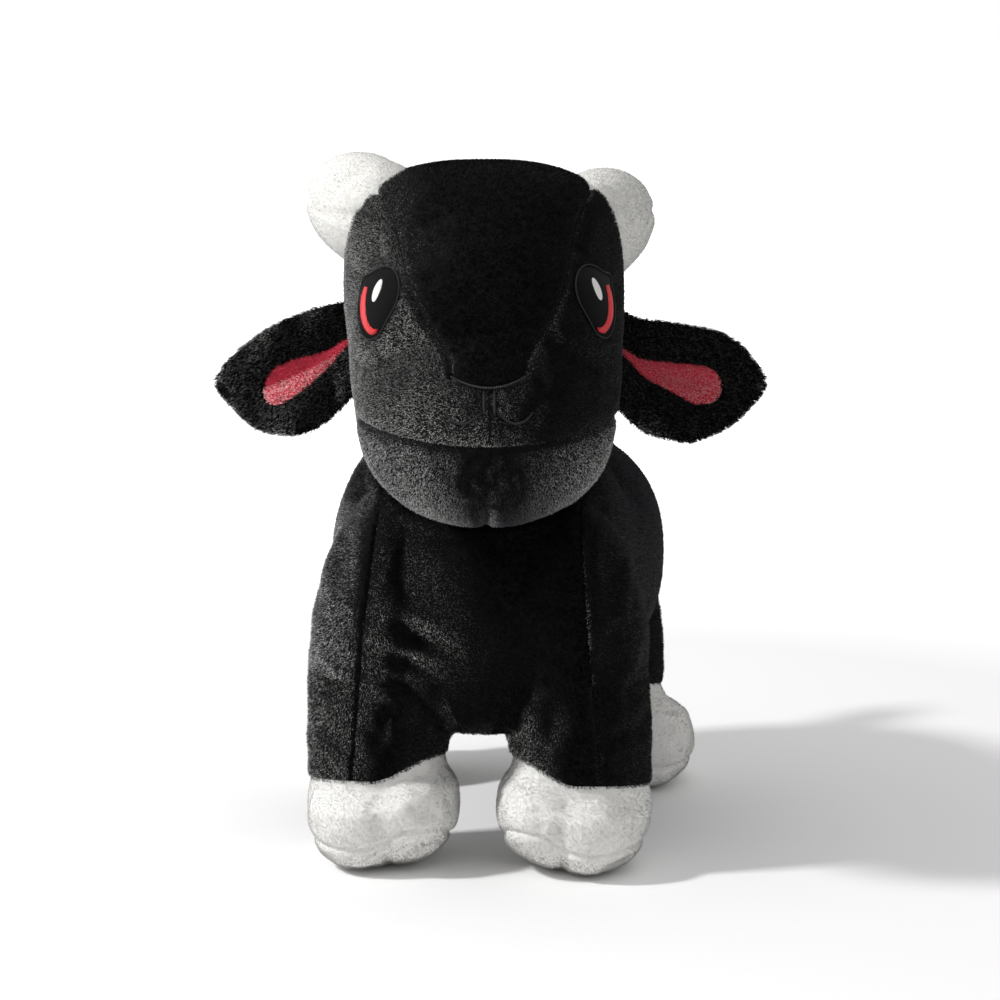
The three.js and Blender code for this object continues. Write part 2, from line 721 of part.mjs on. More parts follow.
const neckAim = vector(0, Math.sin(degrees(NECK_LEAN)), -Math.cos(degrees(NECK_LEAN)));
const headCover = headForm(0).subtract(headForm(-COVER)).subtract(peg(NECK_OPENING, neckAim));
const headGusset = headCover.intersect(frontCutter(gussetOutline(-SEAM_GAP / 2), BEHIND_ALL));
const headChin = headCover.intersect(chinSpace(-SEAM_GAP / 2));
const headRest = headCover.subtract(frontCutter(gussetOutline(SEAM_GAP / 2), BEHIND_ALL));
const headSides = headRest.subtract(chinSpace(SEAM_GAP / 2));
const wadBed = peg(NECK_OPENING, neckAim).subtract(ball(NECK_BALL - WAD_THICKNESS - BOWL_PLAY));
const wadShell = ball(NECK_BALL).subtract(ball(NECK_BALL - WAD_THICKNESS));

const head = new THREE.Group();
head.position.copy(neckPoint);
head.rotation.z = degrees(HEAD_TURN);
goat.add(head);
head.add(
  piece("neck_wad", wadShell.intersect(peg(WAD_RADIUS, neckAim)), filling),
  piece("head_stuffing", headForm(-COVER - SEAM_GAP).subtract(wadBed), filling),
  piece("face_gusset", headGusset, blackPlush),
  piece("head_side_left", headSides.intersect(leftOf(SEAM_GAP / 2)), blackPlush),
  piece("head_side_right", headSides.intersect(rightOf(-SEAM_GAP / 2)), blackPlush),
  piece("chin_panel_left", headChin.intersect(leftOf(SEAM_GAP / 2)), blackPlush),
  piece("chin_panel_right", headChin.intersect(rightOf(-SEAM_GAP / 2)), blackPlush),
);

// Embroidery lies on the head's skin in one or two layers of thread.
const firstLayer = headForm(SEAM_GAP + THREAD).subtract(headForm(SEAM_GAP));
const secondLayer = headForm(2 * (SEAM_GAP + THREAD)).subtract(headForm(2 * SEAM_GAP + THREAD));

for (const [side, sign] of SIDES) {
  const slant = sign * degrees(EYE_SLANT);
  const halfWidth = EYE_WIDTH / 2;
  const halfHeight = EYE_HEIGHT / 2;
  const rim = ellipseOutline(sign * EYE_X, EYE_Z, halfWidth - THREAD, halfHeight - THREAD, slant);
  const pupil = ellipseOutline(
    sign * (EYE_X - CRESCENT_WIDTH),
    EYE_Z + CRESCENT_WIDTH / 2,
    halfWidth - THREAD,
    halfHeight - THREAD,
    slant,
  );
  const highlight = ellipseOutline(
    sign * (EYE_X - CRESCENT_WIDTH / 2),
    EYE_Z + HIGHLIGHT_HEIGHT / 2,
    HIGHLIGHT_WIDTH / 2,
    HIGHLIGHT_HEIGHT / 2,
    slant,
  );
  const eye = ellipseOutline(sign * EYE_X, EYE_Z, halfWidth, halfHeight, slant);
  const crescent = frontCutter(rim, 0).subtract(frontCutter(pupil, 0));
  head.add(
    piece(`eye_patch_${side}`, firstLayer.intersect(frontCutter(eye, 0)), blackThread),
    piece(`eye_crescent_${side}`, secondLayer.intersect(crescent), redThread),
    piece(`eye_highlight_${side}`, secondLayer.intersect(frontCutter(highlight, 0)), whiteThread),
  );
  const nostril = saggingLine(sign * NOSTRIL_X, NOSTRIL_Z, NOSTRIL_HALF_WIDTH, NOSTRIL_RISE);
  head.add(piece(`nostril_${side}`, firstLayer.intersect(frontCutter(nostril, 0)), blackThread));
}

const noseLine = saggingLine(0, NOSE_Z, NOSE_HALF_WIDTH, NOSE_RISE);
const philtrumTop = NOSE_Z - STITCH_LINE / 2 - SEAM_GAP;
const philtrum = new THREE.Shape([
  new THREE.Vector2(-STITCH_LINE / 2, philtrumTop),
  new THREE.Vector2(-STITCH_LINE / 2, philtrumTop - PHILTRUM_LENGTH),
  new THREE.Vector2(STITCH_LINE / 2, philtrumTop - PHILTRUM_LENGTH),
  new THREE.Vector2(STITCH_LINE / 2, philtrumTop),
]);
head.add(
  piece("nose_line", firstLayer.intersect(frontCutter(noseLine, 0)), blackThread),
  piece("philtrum_line", firstLayer.intersect(frontCutter(philtrum, 0)), blackThread),
);

// Horns rise from the head's top corners and sweep back.
const hornZ = CROWN_Z + CROWN_HALF_HEIGHT - HORN_BELOW_CROWN;

function hornForm(sign, inset) {
  const bendX = sign * (HORN_X + HORN_REACH);
  const bendZ = hornZ + HORN_RISE;
  const path = new THREE.CatmullRomCurve3([
    vector(sign * (HORN_X - HORN_REACH), HORN_Y - HORN_REACH, hornZ - HORN_RISE),
    vector(bendX, HORN_Y + HORN_REACH / 2, bendZ),
    vector(bendX, HORN_Y + (HORN_LENGTH + HORN_REACH) / 2, bendZ - HORN_DROP / 3),
    vector(bendX, HORN_Y + HORN_LENGTH, bendZ - HORN_DROP),
  ]);
  return limb(path, tapered(HORN_RADIUS, HORN_TIP_RADIUS, inset), inset, HORN_STEPS);
}

const hornSeat = headForm(SEAM_GAP);
for (const [side, sign] of SIDES) {
  const cover = hornForm(sign, 0).subtract(hornForm(sign, COVER)).subtract(hornSeat);
  const stuffing = hornForm(sign, COVER + SEAM_GAP).subtract(hornSeat);
  head.add(piece(`horn_cover_${side}`, cover, greyPlush));
  head.add(piece(`horn_stuffing_${side}`, stuffing, filling));
}

// Ears: two leaf-shaped layers back to back, rounded at the root seam
// Centre line height, half width, half thickness and cup at a distance from the root seam.
function earSection(out) {
  const along = Math.max(0, out) / EAR_LENGTH;
  const swellAt = Math.sin(Math.PI * Math.min(along, 0.5));
  const rounding = Math.sqrt(Math.max(0, 1 - (2 * Math.max(along, 0.5) - 1) ** EAR_TIP_SQUARENESS));
  const rootDome = Math.sqrt(1 - (1 - Math.min(1, (out + EAR_LAYER) / EAR_LAYER)) ** 2);
  return {
    height: -EAR_DROOP * along ** EAR_DROOP_CURVE,
    halfWidth: THREE.MathUtils.lerp(EAR_ROOT_HALF, EAR_HALF_WIDTH, swellAt) * rounding,
    halfThickness: EAR_LAYER * rootDome * THREE.MathUtils.lerp(EAR_TIP_RATIO, 1, rounding),
    cup: EAR_CUP * Math.sin(Math.PI * along),
  };
}

// One layer between the ear's middle sheet and its outer face, facing front or back.
function earLayer(sign, facing) {
  const inner = [];
  const outer = [];
  for (let row = 0; row <= EAR_ROWS; row += 1) {
    const fraction = (row + 0.25) / (EAR_ROWS + 0.35);
    const out = THREE.MathUtils.lerp(-EAR_LAYER, EAR_LENGTH, fraction);
    const section = earSection(out);
    for (let column = 0; column <= EAR_COLUMNS; column += 1) {
      const across = (2 * column) / EAR_COLUMNS - 1;
      const z = section.height + section.halfWidth * across;
      const y = -section.cup * across * across;
      const thickness = SEAM_GAP + section.halfThickness * Math.sqrt(1 - (EAR_EDGE_RATIO * across) ** 2);
      inner.push(vector(sign * out, y + (facing * SEAM_GAP) / 2, z));
      outer.push(vector(sign * out, y + facing * thickness, z));
    }
  }
  return slab(inner, outer, EAR_ROWS, EAR_COLUMNS);
}

// A thin closed body between two grids of points.
function slab(first, second, rows, columns) {
  const width = columns + 1;
  const shift = first.length;
  const triangles = [];
  for (let row = 0; row < rows; row += 1) {
    for (let column = 0; column < columns; column += 1) {
      const a = row * width + column;
      const b = a + 1;
      const c = a + width;
      const d = c + 1;
      triangles.push(a, b, c, b, d, c);
      triangles.push(a + shift, c + shift, b + shift, b + shift, c + shift, d + shift);
    }
  }
  const rim = [];
  for (let column = 0; column < columns; column += 1) rim.push(column);
  for (let row = 0; row < rows; row += 1) rim.push(row * width + columns);
  for (let column = columns; column > 0; column -= 1) rim.push(rows * width + column);
  for (let row = rows; row > 0; row -= 1) rim.push(row * width);
  rim.forEach((a, index) => {
    const b = rim[(index + 1) % rim.length];
    triangles.push(b, a, a + shift, b, a + shift, b + shift);
  });
  return closedBody([...first, ...second], triangles);
}

for (const [side, sign] of SIDES) {
  const inHead = vector(0, EAR_Y, EAR_Z);
  const seat = skinPoint(headSwells, inHead, vector(sign, 0, 0));
  const middle = LINING_START + LINING_LENGTH / 2;
  const lean = -sign * Math.atan2(EAR_DROOP, EAR_LENGTH);
  const height = earSection(middle).height;
  const hole = ellipseOutline(sign * middle, height, LINING_LENGTH / 2, LINING_HALF_WIDTH, lean);
  const inset = ellipseOutline(
    sign * middle,
    height,
    LINING_LENGTH / 2 - SEAM_GAP,
    LINING_HALF_WIDTH - SEAM_GAP,
    lean,
  );
  const front = earLayer(sign, -1);
  const ear = new THREE.Group();
  ear.position.copy(seat);
  ear.position.x += sign * (EAR_LAYER + 2 * SEAM_GAP);
  head.add(ear);
  ear.add(
    piece(`ear_back_${side}`, earLayer(sign, 1), blackPlush),
    piece(`ear_front_${side}`, front.subtract(frontCutter(hole, BEHIND_ALL)), blackPlush),
    piece(`ear_lining_${side}`, front.intersect(frontCutter(inset, BEHIND_ALL)), pinkPlush),
  );
}

// The origin is under the middle of the whole toy, on the ground.
goat.updateMatrixWorld(true);
const box = new THREE.Box3().setFromObject(goat);
const middle = box.getCenter(vector(0, 0, 0));
goat.position.set(-middle.x, -middle.y, -box.min.z);
goat.updateMatrixWorld(true);

export default goat;
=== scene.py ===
"""Looks of a standing plush goat: stuffed skins cut into sewn panels, short pile, satin stitching and a stage."""

import math

import bmesh
import bpy
import numpy as np
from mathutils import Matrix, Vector


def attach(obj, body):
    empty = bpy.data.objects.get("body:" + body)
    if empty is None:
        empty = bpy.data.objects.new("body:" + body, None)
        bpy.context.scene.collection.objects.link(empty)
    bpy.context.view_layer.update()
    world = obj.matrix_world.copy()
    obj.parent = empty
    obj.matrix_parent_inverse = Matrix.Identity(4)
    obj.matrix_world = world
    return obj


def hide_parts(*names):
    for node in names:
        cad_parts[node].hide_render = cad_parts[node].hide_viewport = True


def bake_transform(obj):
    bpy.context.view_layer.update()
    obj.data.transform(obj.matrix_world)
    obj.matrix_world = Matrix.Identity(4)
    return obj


bl_info = {
    "name": "Plush goat",
    "version": (1, 0, 0),
    "blender": (4, 5, 0),
    "location": "3D View > Sidebar > Plush goat",
    "description": "Builds the sewn panels, pile and stitching of a standing plush goat",
    "category": "Mesh",
}

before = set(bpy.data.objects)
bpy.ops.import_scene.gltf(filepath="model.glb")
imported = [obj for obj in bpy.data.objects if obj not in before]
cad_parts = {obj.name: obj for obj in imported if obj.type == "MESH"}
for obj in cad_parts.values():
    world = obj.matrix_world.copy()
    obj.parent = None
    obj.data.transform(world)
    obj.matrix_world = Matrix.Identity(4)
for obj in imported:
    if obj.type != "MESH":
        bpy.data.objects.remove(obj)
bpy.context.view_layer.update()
MM = 0.001

# Places in millimetres, measured on the trunk's middle line and, for the head, from the middle of the neck ball.
SHIFT = np.array((1.31, 13.7315, 0.0))
NECK = np.array((0.0, -66.0, 200.0))
NECK_BALL = 54.0
HEAD_TURN = 7.0
HEAD_SWINGS = (-25.0, -12.5, 0.0, 12.5, 25.0)
HEAD_DIPS = (0.0, 5.0)

# A swell is a rounded box: centre, half sizes and how square its corners are.
TRUNK = (
    ((-3.0, -34, 126), (64.6, 64, 73), 2.0),
    ((-0.7, 22, 116), (74, 92, 60), 2.4),
    ((0, -56, 94), (58, 44, 38), 3.6),
)
HEAD = (
    ((1.6, 8, 45), (54.5, 52, 53), 2.8),
    ((0.0, 12, 55), (56.8, 36, 39.6), 3.4),
    ((1.6, -16, 51), (46, 43, 35), 2.0),
    ((0.6, -20, 22), (55.4, 50, 48), 2.7),
    ((0.2, -45, -4), (52.5, 44, 43), 2.1),
)
SWELL_JOIN = 3.6
LEG_JOIN = 2.4
LEG_DEPTH = 29.5
LEG_DOME = 64.0
LEG_CUT = 84.0
LEG_CUT_RADIUS = 39.0
LEGS = {
    "front": {"x": 43.9, "y": -74.0, "half": 31.2, "thigh_in": 5.0, "top": 158.0, "aside": -1.0,
              "hoof": 40.4, "spread": 14.0, "ankle": 34.0, "seam": 35.6},
    "rear": {"x": 47.2, "y": 72.0, "half": 26.5, "thigh_in": 5.0, "top": 138.0, "aside": 0.0,
             "hoof": 57.0, "spread": 5.0, "ankle": 27.0, "seam": 46.0},
}
SIDES = (("left", 1.0), ("right", -1.0))
FAR = 99.0  # stands for no seam or stitch near

# Hooves: the seam to the leg slopes forward and rises inward. A toe is an offset from the hoof's middle and a swell.
HOOF_SEAM = 41.0
HOOF_SLOPE = 0.17
HOOF_RISE = 11.5
HOOF_RISE_WIDTH = 30.0
HOOF_TAPER = 15.0
HOOF_JOIN = 5.0
HOOF_INSET = 0.7
GROUND_ROUNDING = 2.4
ANKLE_INSET = 1.5
TOES_FORWARD = 6.0
OUTER_TOE = ((7.5, 0.0, 20.0), (22.5, 32.0, 23.0), 2.2)
INNER_TOE = ((0.0, 1.0, 24.5), (16.5, 30.5, 20.0), 2.1)
CLEFT = {"inside": 4.0, "lean": 0.12, "half": 4.2, "depth": 2.6, "top": 26.0, "back": 12.0}
SOLE = {"z": 13.0, "rise": 9.0, "inside": 6.0, "back": 18.0}

# Seams of the trunk
CHEST_SEAM_X = 45.0
CHEST_SEAM_Z = 128.0
CHEST_LEAN = math.radians(5)
SLOPE_POINT = np.array((0.0, 115.0, 80.0))
SLOPE_NORMAL = np.array((0.0, 120.0, 181.0)) / math.hypot(120.0, 181.0)
CHEST_END = math.radians(35)
TORSO_INSET = 1.8
HEAD_ROOM = 2.4  # left between trunk and turning head
MOST_PRESSED = 7.0

# Folds of the cloth: start, end, depth and half width
FOLDS = (
    ((-47, -92, 112), (-12, -104, 99), 3.2, 4.2),
    ((-47, -94, 100), (-20, -104, 91), 2.7, 3.8),
    ((-46, -95, 90), (-26, -103, 83), 2.0, 3.4),
    ((-70, -50, 98), (-58, -86, 84), 1.2, 6.0),
    ((70, -50, 100), (58, -86, 82), 1.1, 6.0),
    ((72, 60, 100), (62, 96, 84), 1.3, 6.0),
    ((-72, 60, 102), (-62, 96, 86), 1.3, 6.0),
)

# Tail
TAIL_ROOT = np.array((0.0, 111.305, 149.2937))
TAIL_AIM = np.array((0.0, math.cos(math.radians(48)), math.sin(math.radians(48))))
TAIL_LENGTH = 24.0
TAIL_RADII = (10.2, 4.6)

# Seams of the head: half width of the face gusset at heights up the face and up the nape
GUSSET_Z = (17, 24.5, 30.6, 38.2, 49.6, 62.3, 74.3, 82, 92, 100)
GUSSET_FRONT = (14, 15.3, 19.1, 25, 30.5, 34, 36.8, 40.8, 48, 52)
NAPE_Z = (-40, 0, 30, 60, 80, 92, 100)
NAPE_BACK = (22, 26, 30, 36, 41, 48, 52)
NOSE = {"z": 14.6, "half": 15.0, "rise": 4.2}
MOUTH = {"z": -8.5, "rise": 5.0, "half": 45.0, "back": -14.0}
CHIN_DART_Z = -34.0
HEAD_INSET = 1.5
FRONT_Y = -40.0  # the nose's stitches lie in front of it
NAPE_Y = 4.0  # from here back the gusset is the nape's

# The eyes lie on a plane of their own, given by its middle and its axes out along the cheek and up.
EYE = {
    "middle": np.array((45.1, -48.2, 46.8)),
    "out": np.array((0.492, 0.871, 0.0)),
    "up": np.array((-0.318, 0.179, 0.931)),
    "normal": np.array((0.811, -0.458, 0.365)),
}
EYE_OUTLINE = (
    (20.5, 6.2), (18.2, 0.6), (12.8, -6.4), (7.2, -11.6), (2.4, -14.8), (-2.2, -15.7), (-6.8, -13.9), (-8.8, -11),
    (-10.7, -6.3), (-12, -2), (-12.1, 2.2), (-10.4, 6.6), (-6.8, 10.4), (-1.9, 12.9), (3.8, 13.8), (9, 12.5),
    (14.5, 10), (20.8, 8.8),
)
CRESCENT_OUTER = (
    (13.6, 4.3), (13.4, 0.3), (10, -5), (6, -9.4), (1.2, -12.8), (-3.2, -14.2), (-6.4, -12.8), (-6.9, -11.3),
)
CRESCENT_INNER = (
    (9.8, 4.2), (7.9, 0.9), (4.9, -3.5), (1.7, -7.8), (-1.2, -10.4), (-3.4, -11.4), (-5.2, -11.7), (-6.9, -11.3),
)
HIGHLIGHT = {"middle": (0.4, 3.4), "half": (2.5, 4.9), "lean": 12.0}
NOSTRIL = ((-3.4, 5.2), (-6.8, 2.4), (-10.4, 0.9), (-14.4, 2.2), (-17.2, 5.2))
PHILTRUM_X = 2.1
PHILTRUM_Z = (13.6, 4.6)

# Horns: the path of the left one, how far each is lifted, and the radius at root and tip
HORN_PATH = ((27, 5, 64), (52.5, 24.5, 80), (52.5, 52.5, 76), (52.5, 74, 68))
HORN_LIFT = {1.0: -6.0, -1.0: 1.0}
HORN_RADIUS = 24.5
HORN_TAPER = 14.5

# Neck filling, hung from the middle of the neck ball
NECK_AIM = np.array((0, math.sin(math.radians(30)), -math.cos(math.radians(30))))
NECK_WAD = ((22, 22, 7), 2.3)
NECK_REACH = 48.0

# Skins: lower and upper corner of the space that is searched, and the size of its cells
TORSO_SPACE = ((-84, -112, 14), (84, 122, 206), 4.0)
HEAD_SPACE = ((-64, -98, -62), (64, 70, 108), 3.6)
CLOTH_FRAMES = 20
BESIDE_SEAM = (0.0, 0.8, -0.8, 2.0, -2.0)

# Stage, in metres and watts
FLOOR_HALF = 8.0
GLOW_FROM, GLOW_TO = 0.4, 1.2
SKY_LOW, SKY_HIGH = 0.36, 0.85
KEY_LAMP = {"place": (-1.36, -0.53, 1.36), "size": 0.2, "power": 29, "target": (0.0, 0.0, 0.14)}
CAMERA = {"target": (2.81, 13.73, 145.0), "back": (0.0860, -0.9825, 0.1651), "away": 1.35, "lens": 108.54}


def linear(code):
    """A colour written as sRGB hex, turned to linear light."""
    levels = np.array([int(code[i : i + 2], 16) for i in (1, 3, 5)]) / 255
    return tuple(np.where(levels <= 0.04045, levels / 12.92, ((levels + 0.055) / 1.055) ** 2.4))


def length_property(name, description, millimetres):
    return bpy.props.FloatProperty(
        name=name, description=description, default=millimetres * MM, min=0, unit="LENGTH", precision=4
    )


def colour_property(name, description, code):
    return bpy.props.FloatVectorProperty(
        name=name, description=description, default=linear(code), subtype="COLOR", min=0, max=1
    )


class GoatSizes(bpy.types.PropertyGroup):
    """Sizes of the cloth that a maker would change."""

    body_pile: length_property("Body pile", "Length of the black plush's pile", 1.5)
    ear_pile: length_property("Ear pile", "Length of the pile on the ears and tail", 2.6)
    chin_pile: length_property("Chin pile", "Length of the pile on the face and chin", 1.3)
    grey_pile: length_property("Grey pile", "Length of the grey plush's pile", 0.8)
    lining_pile: length_property("Lining pile", "Length of the ear lining's pile", 1.3)
    cloth: length_property("Cloth", "Thickness of the cloth under the pile", 1.0)
    seam_depth: length_property("Seam depth", "How far a seam draws the cloth in", 1.2)
    seam_width: length_property("Seam width", "Half width of the valley along a seam", 1.1)
    thread: length_property("Thread", "Height of an embroidered patch over the cloth", 1.3)


class GoatColours(bpy.types.PropertyGroup):
    """Colours of the cloth and thread."""

    black: colour_property("Black plush", "Pile of the face, chest and legs", "#050505")
    slate: colour_property("Brushed black plush", "Pile of the chin and flanks, brushed the other way", "#07070a")
    # Painted glint: black fibres take this light colour toward their tips, standing in for the light they catch, most
    # where the painted side light is strong.
    glint: colour_property("Black glint", "Tips of black fibres that catch the light", "#dededb")
    grey: colour_property("Grey plush", "Horns", "#e4e3df")
    grey_tip: colour_property("Grey tips", "Tips of the horns' fibres", "#f2f1ed")
    # The hooves' plush is the horns' grey, its colours painted lighter because the lamp lights the hooves less: painted
    # light.
    pale: colour_property("Pale plush", "Hooves, brushed toward the eye", "#f0efec")
    pale_tip: colour_property("Pale tips", "Tips of the hooves' fibres", "#fdfcfa")
    pink: colour_property("Pink plush", "Lining of the ears", "#bc2c40")
    # Lit colour of the lining, shown where its painted light is high; where it is painted dark the fibres keep the
    # deeper pink.
    pink_tip: colour_property("Pink tips", "Tips of the lining's fibres", "#ffbcbe")
    thread: colour_property("Black thread", "Eye patches and nose", "#060607")
    border: colour_property("Border thread", "Outline of the eyes", "#1e1e1f")
    red: colour_property("Red thread", "Crescent of the eyes", "#d8202a")
    white: colour_property("White thread", "Highlight of the eyes", "#f2f1ee")
    sock: colour_property("Neck sock", "Knitted sock round the filling of the neck", "#08080a")
    floor: colour_property("Floor", "Studio floor", "#f4f4f4")


def millimetres(name):
    """One of the cloth's sizes in millimetres."""
    return getattr(bpy.context.scene.goat_sizes, name) / MM


def unit(vectors):
    """Vectors brought to length one."""
    return vectors / np.maximum(np.linalg.norm(vectors, axis=-1, keepdims=True), 1e-9)


def smooth(value):
    """Smooth step from 0 to 1: v^2 * (3 - 2 v), with v held between 0 and 1."""
    v = np.clip(value, 0, 1)
    return v * v * (3 - 2 * v)


def fade(value, width):
    """Falls from 1 to 0 as the value passes zero, over about the width."""
    return 1 / (1 + np.exp(value / width))


def run_along(path):
    """Distance run along a path at each of its points."""
    return np.concatenate([[0], np.cumsum(np.linalg.norm(np.diff(path, axis=0), axis=1))])


def in_triangles(quads):
    """Quads cut into two triangles each."""
    return np.concatenate([quads[:, (0, 1, 2)], quads[:, (0, 2, 3)]])


def turn_about_z(angle):
    """Rotation matrix about the upright axis, in degrees."""
    c, s = math.cos(math.radians(angle)), math.sin(math.radians(angle))
    return np.array(((c, -s, 0), (s, c, 0), (0, 0, 1)))


def turn_about_x(angle):
    """Rotation matrix about the left-right axis, in degrees."""
    c, s = math.cos(math.radians(angle)), math.sin(math.radians(angle))
    return np.array(((1, 0, 0), (0, c, -s), (0, s, c)))


TRUNK_PLACE = (np.eye(3), SHIFT)
HEAD_PLACE = (turn_about_z(HEAD_TURN), NECK + SHIFT)


def placed(points, place):
    """Points in a piece's own millimetres, carried to the shared frame in metres."""
    return (points @ place[0].T + place[1]) * MM


# Fields: negative inside a form, zero on its skin, about a distance in millimetres


def joined(distances, width):
    """Soft least of several distances: least - width * ln(sum of exp((least - each) / width))."""
    stack = np.stack(distances)
    least = stack.min(0)
    return least - width * np.log(np.exp((least - stack) / width).sum(0))


def swell(points, centre, half, squareness):
    """Rounded box: r = (sum of |offset / half| ^ n) ^ (1 / n), and the distance is |offset| * (1 - 1 / r)."""
    offset = points - np.asarray(centre, float) + 1e-5
    r = (np.abs(offset / np.asarray(half, float)) ** squareness).sum(-1) ** (1 / squareness)
    return np.linalg.norm(offset, axis=-1) * (1 - 1 / r)


def trunk_field(points):
    return joined([swell(points, *part) for part in TRUNK], SWELL_JOIN)


def of_leg(points, key):
    """One of the nearest leg's sizes at each point."""
    return np.where(points[:, 1] < 0, LEGS["front"][key], LEGS["rear"][key])


def leg_middle(points):
    """Middle of the nearest leg at each point's height: x, y and the side it stands on."""
    sign = np.where(points[:, 0] < of_leg(points, "aside"), -1.0, 1.0)
    climb = np.clip((points[:, 2] - HOOF_SEAM) / (of_leg(points, "top") - HOOF_SEAM), 0, 1)
    x = sign * (of_leg(points, "x") - of_leg(points, "thigh_in") * climb) + of_leg(points, "aside")
    return x, of_leg(points, "y"), sign


def leg_field(points):
    """Upright tube with an oval section and a domed top, its middle leaning inward as it rises."""
    x, y, _ = leg_middle(points)
    rise = np.maximum(0, points[:, 2] - of_leg(points, "top") + LEG_DOME) / LEG_DOME
    half = of_leg(points, "half")
    r = np.sqrt(((points[:, 0] - x) / half) ** 2 + ((points[:, 1] - y) / LEG_DEPTH) ** 2 + rise**2)
    return np.maximum((r - 1) * LEG_DEPTH, 20 - points[:, 2])


def in_bowl(points):
    """Distance from the middle of the neck ball, which the trunk's bowl holds."""
    return np.linalg.norm(points - NECK, axis=1)


def torso_field(points):
    """Trunk and legs run into each other, and the neck ball is scooped out of the top."""
    body = joined([trunk_field(points), leg_field(points)], LEG_JOIN)
    bowl = NECK_BALL + 0.8 - in_bowl(points)
    return -joined([-body, -bowl], 1.5)


def head_field(points):
    """Crown, cheeks and muzzle run into each other and into the neck ball."""
    face = joined([swell(points, *part) for part in HEAD], SWELL_JOIN)
    return joined([face, np.linalg.norm(points, axis=1) - NECK_BALL], 2.0)


def below_hoof_seam(points):
    """Distance below the seam between a leg and its hoof, which rises forward and toward the toy's middle."""
    x, y, sign = leg_middle(points * (1, 1, 0))
    level = of_leg(points, "seam") + HOOF_SLOPE * (y - points[:, 1])
    return level + HOOF_RISE * smooth(sign * (x - points[:, 0]) / HOOF_RISE_WIDTH) - points[:, 2]


def hoof_field(points, kind, sign):
    """An ankle over an outer and an inner toe, pressed flat on the ground and narrowed to the leg at its top seam."""
    leg = LEGS[kind]
    taper = smooth(1 - below_hoof_seam(points) / HOOF_TAPER)
    points = points - (leg["aside"], 0, 0)
    x, y, z = points.T
    half, depth = leg["half"], LEG_DEPTH
    parts = [((sign * leg["x"], leg["y"], HOOF_SEAM), (half - ANKLE_INSET, depth - ANKLE_INSET, leg["ankle"]), 2.2)]
    for middle, (offset, *form) in ((leg["hoof"], OUTER_TOE), (leg["hoof"] - leg["spread"], INNER_TOE)):
        parts.append(((sign * (middle + offset[0]), leg["y"] - TOES_FORWARD + offset[1], offset[2]), *form))
    hoof = joined([swell(points, *part) for part in parts], HOOF_JOIN)
    off = np.abs(sign * x - leg["hoof"] + CLEFT["inside"] - CLEFT["lean"] * z) / CLEFT["half"]
    low, front = fade(z - CLEFT["top"], 4), fade(y - leg["y"] + CLEFT["back"], 3)
    cleft = CLEFT["depth"] * np.exp(-(off**1.6)) * low * front
    tube = (np.hypot((x - sign * leg["x"]) / half, (y - leg["y"]) / depth) - 1) * depth + 2
    hoof = np.maximum(hoof * (1 - taper) + tube * taper, z - HOOF_SEAM - 18)
    return -joined([-hoof - cleft, z], GROUND_ROUNDING)


def beads_field(points, middles, radii):
    """A row of balls along a path, joined softly into one rounded limb."""
    reach = np.linalg.norm(points[:, None, :] - middles[None], axis=2) - radii[None]
    return joined(list(reach.T), 1.2)


def curve_through(knots, count):
    """Points along a smooth curve through the knots: each span is Catmull and Rom's cubic."""
    knots = np.asarray(knots, float)
    padded = np.concatenate([2 * knots[:1] - knots[1:2], knots, 2 * knots[-1:] - knots[-2:-1]])
    place = np.linspace(0, len(knots) - 1, count)
    span = np.minimum(place.astype(int), len(knots) - 2)
    t = (place - span)[:, None]
    a, b, c, d = (padded[span + i] for i in range(4))
    return 0.5 * (2 * b + (c - a) * t + (2 * a - 5 * b + 4 * c - d) * t**2 + (3 * b - a - 3 * c + d) * t**3)


# Skins


CUBE = np.array([(i >> 2 & 1, i >> 1 & 1, i & 1) for i in range(8)])
CUBE_EDGES = [(a, a | bit) for a in range(8) for bit in (1, 2, 4) if not a & bit]


def slope_of(field, points, reach=0.05):
    """Slope of a field at points, from differences over a short reach."""
    steps = np.eye(3) * reach
    return np.stack([field(points + s) - field(points - s) for s in steps], 1) / (2 * reach)


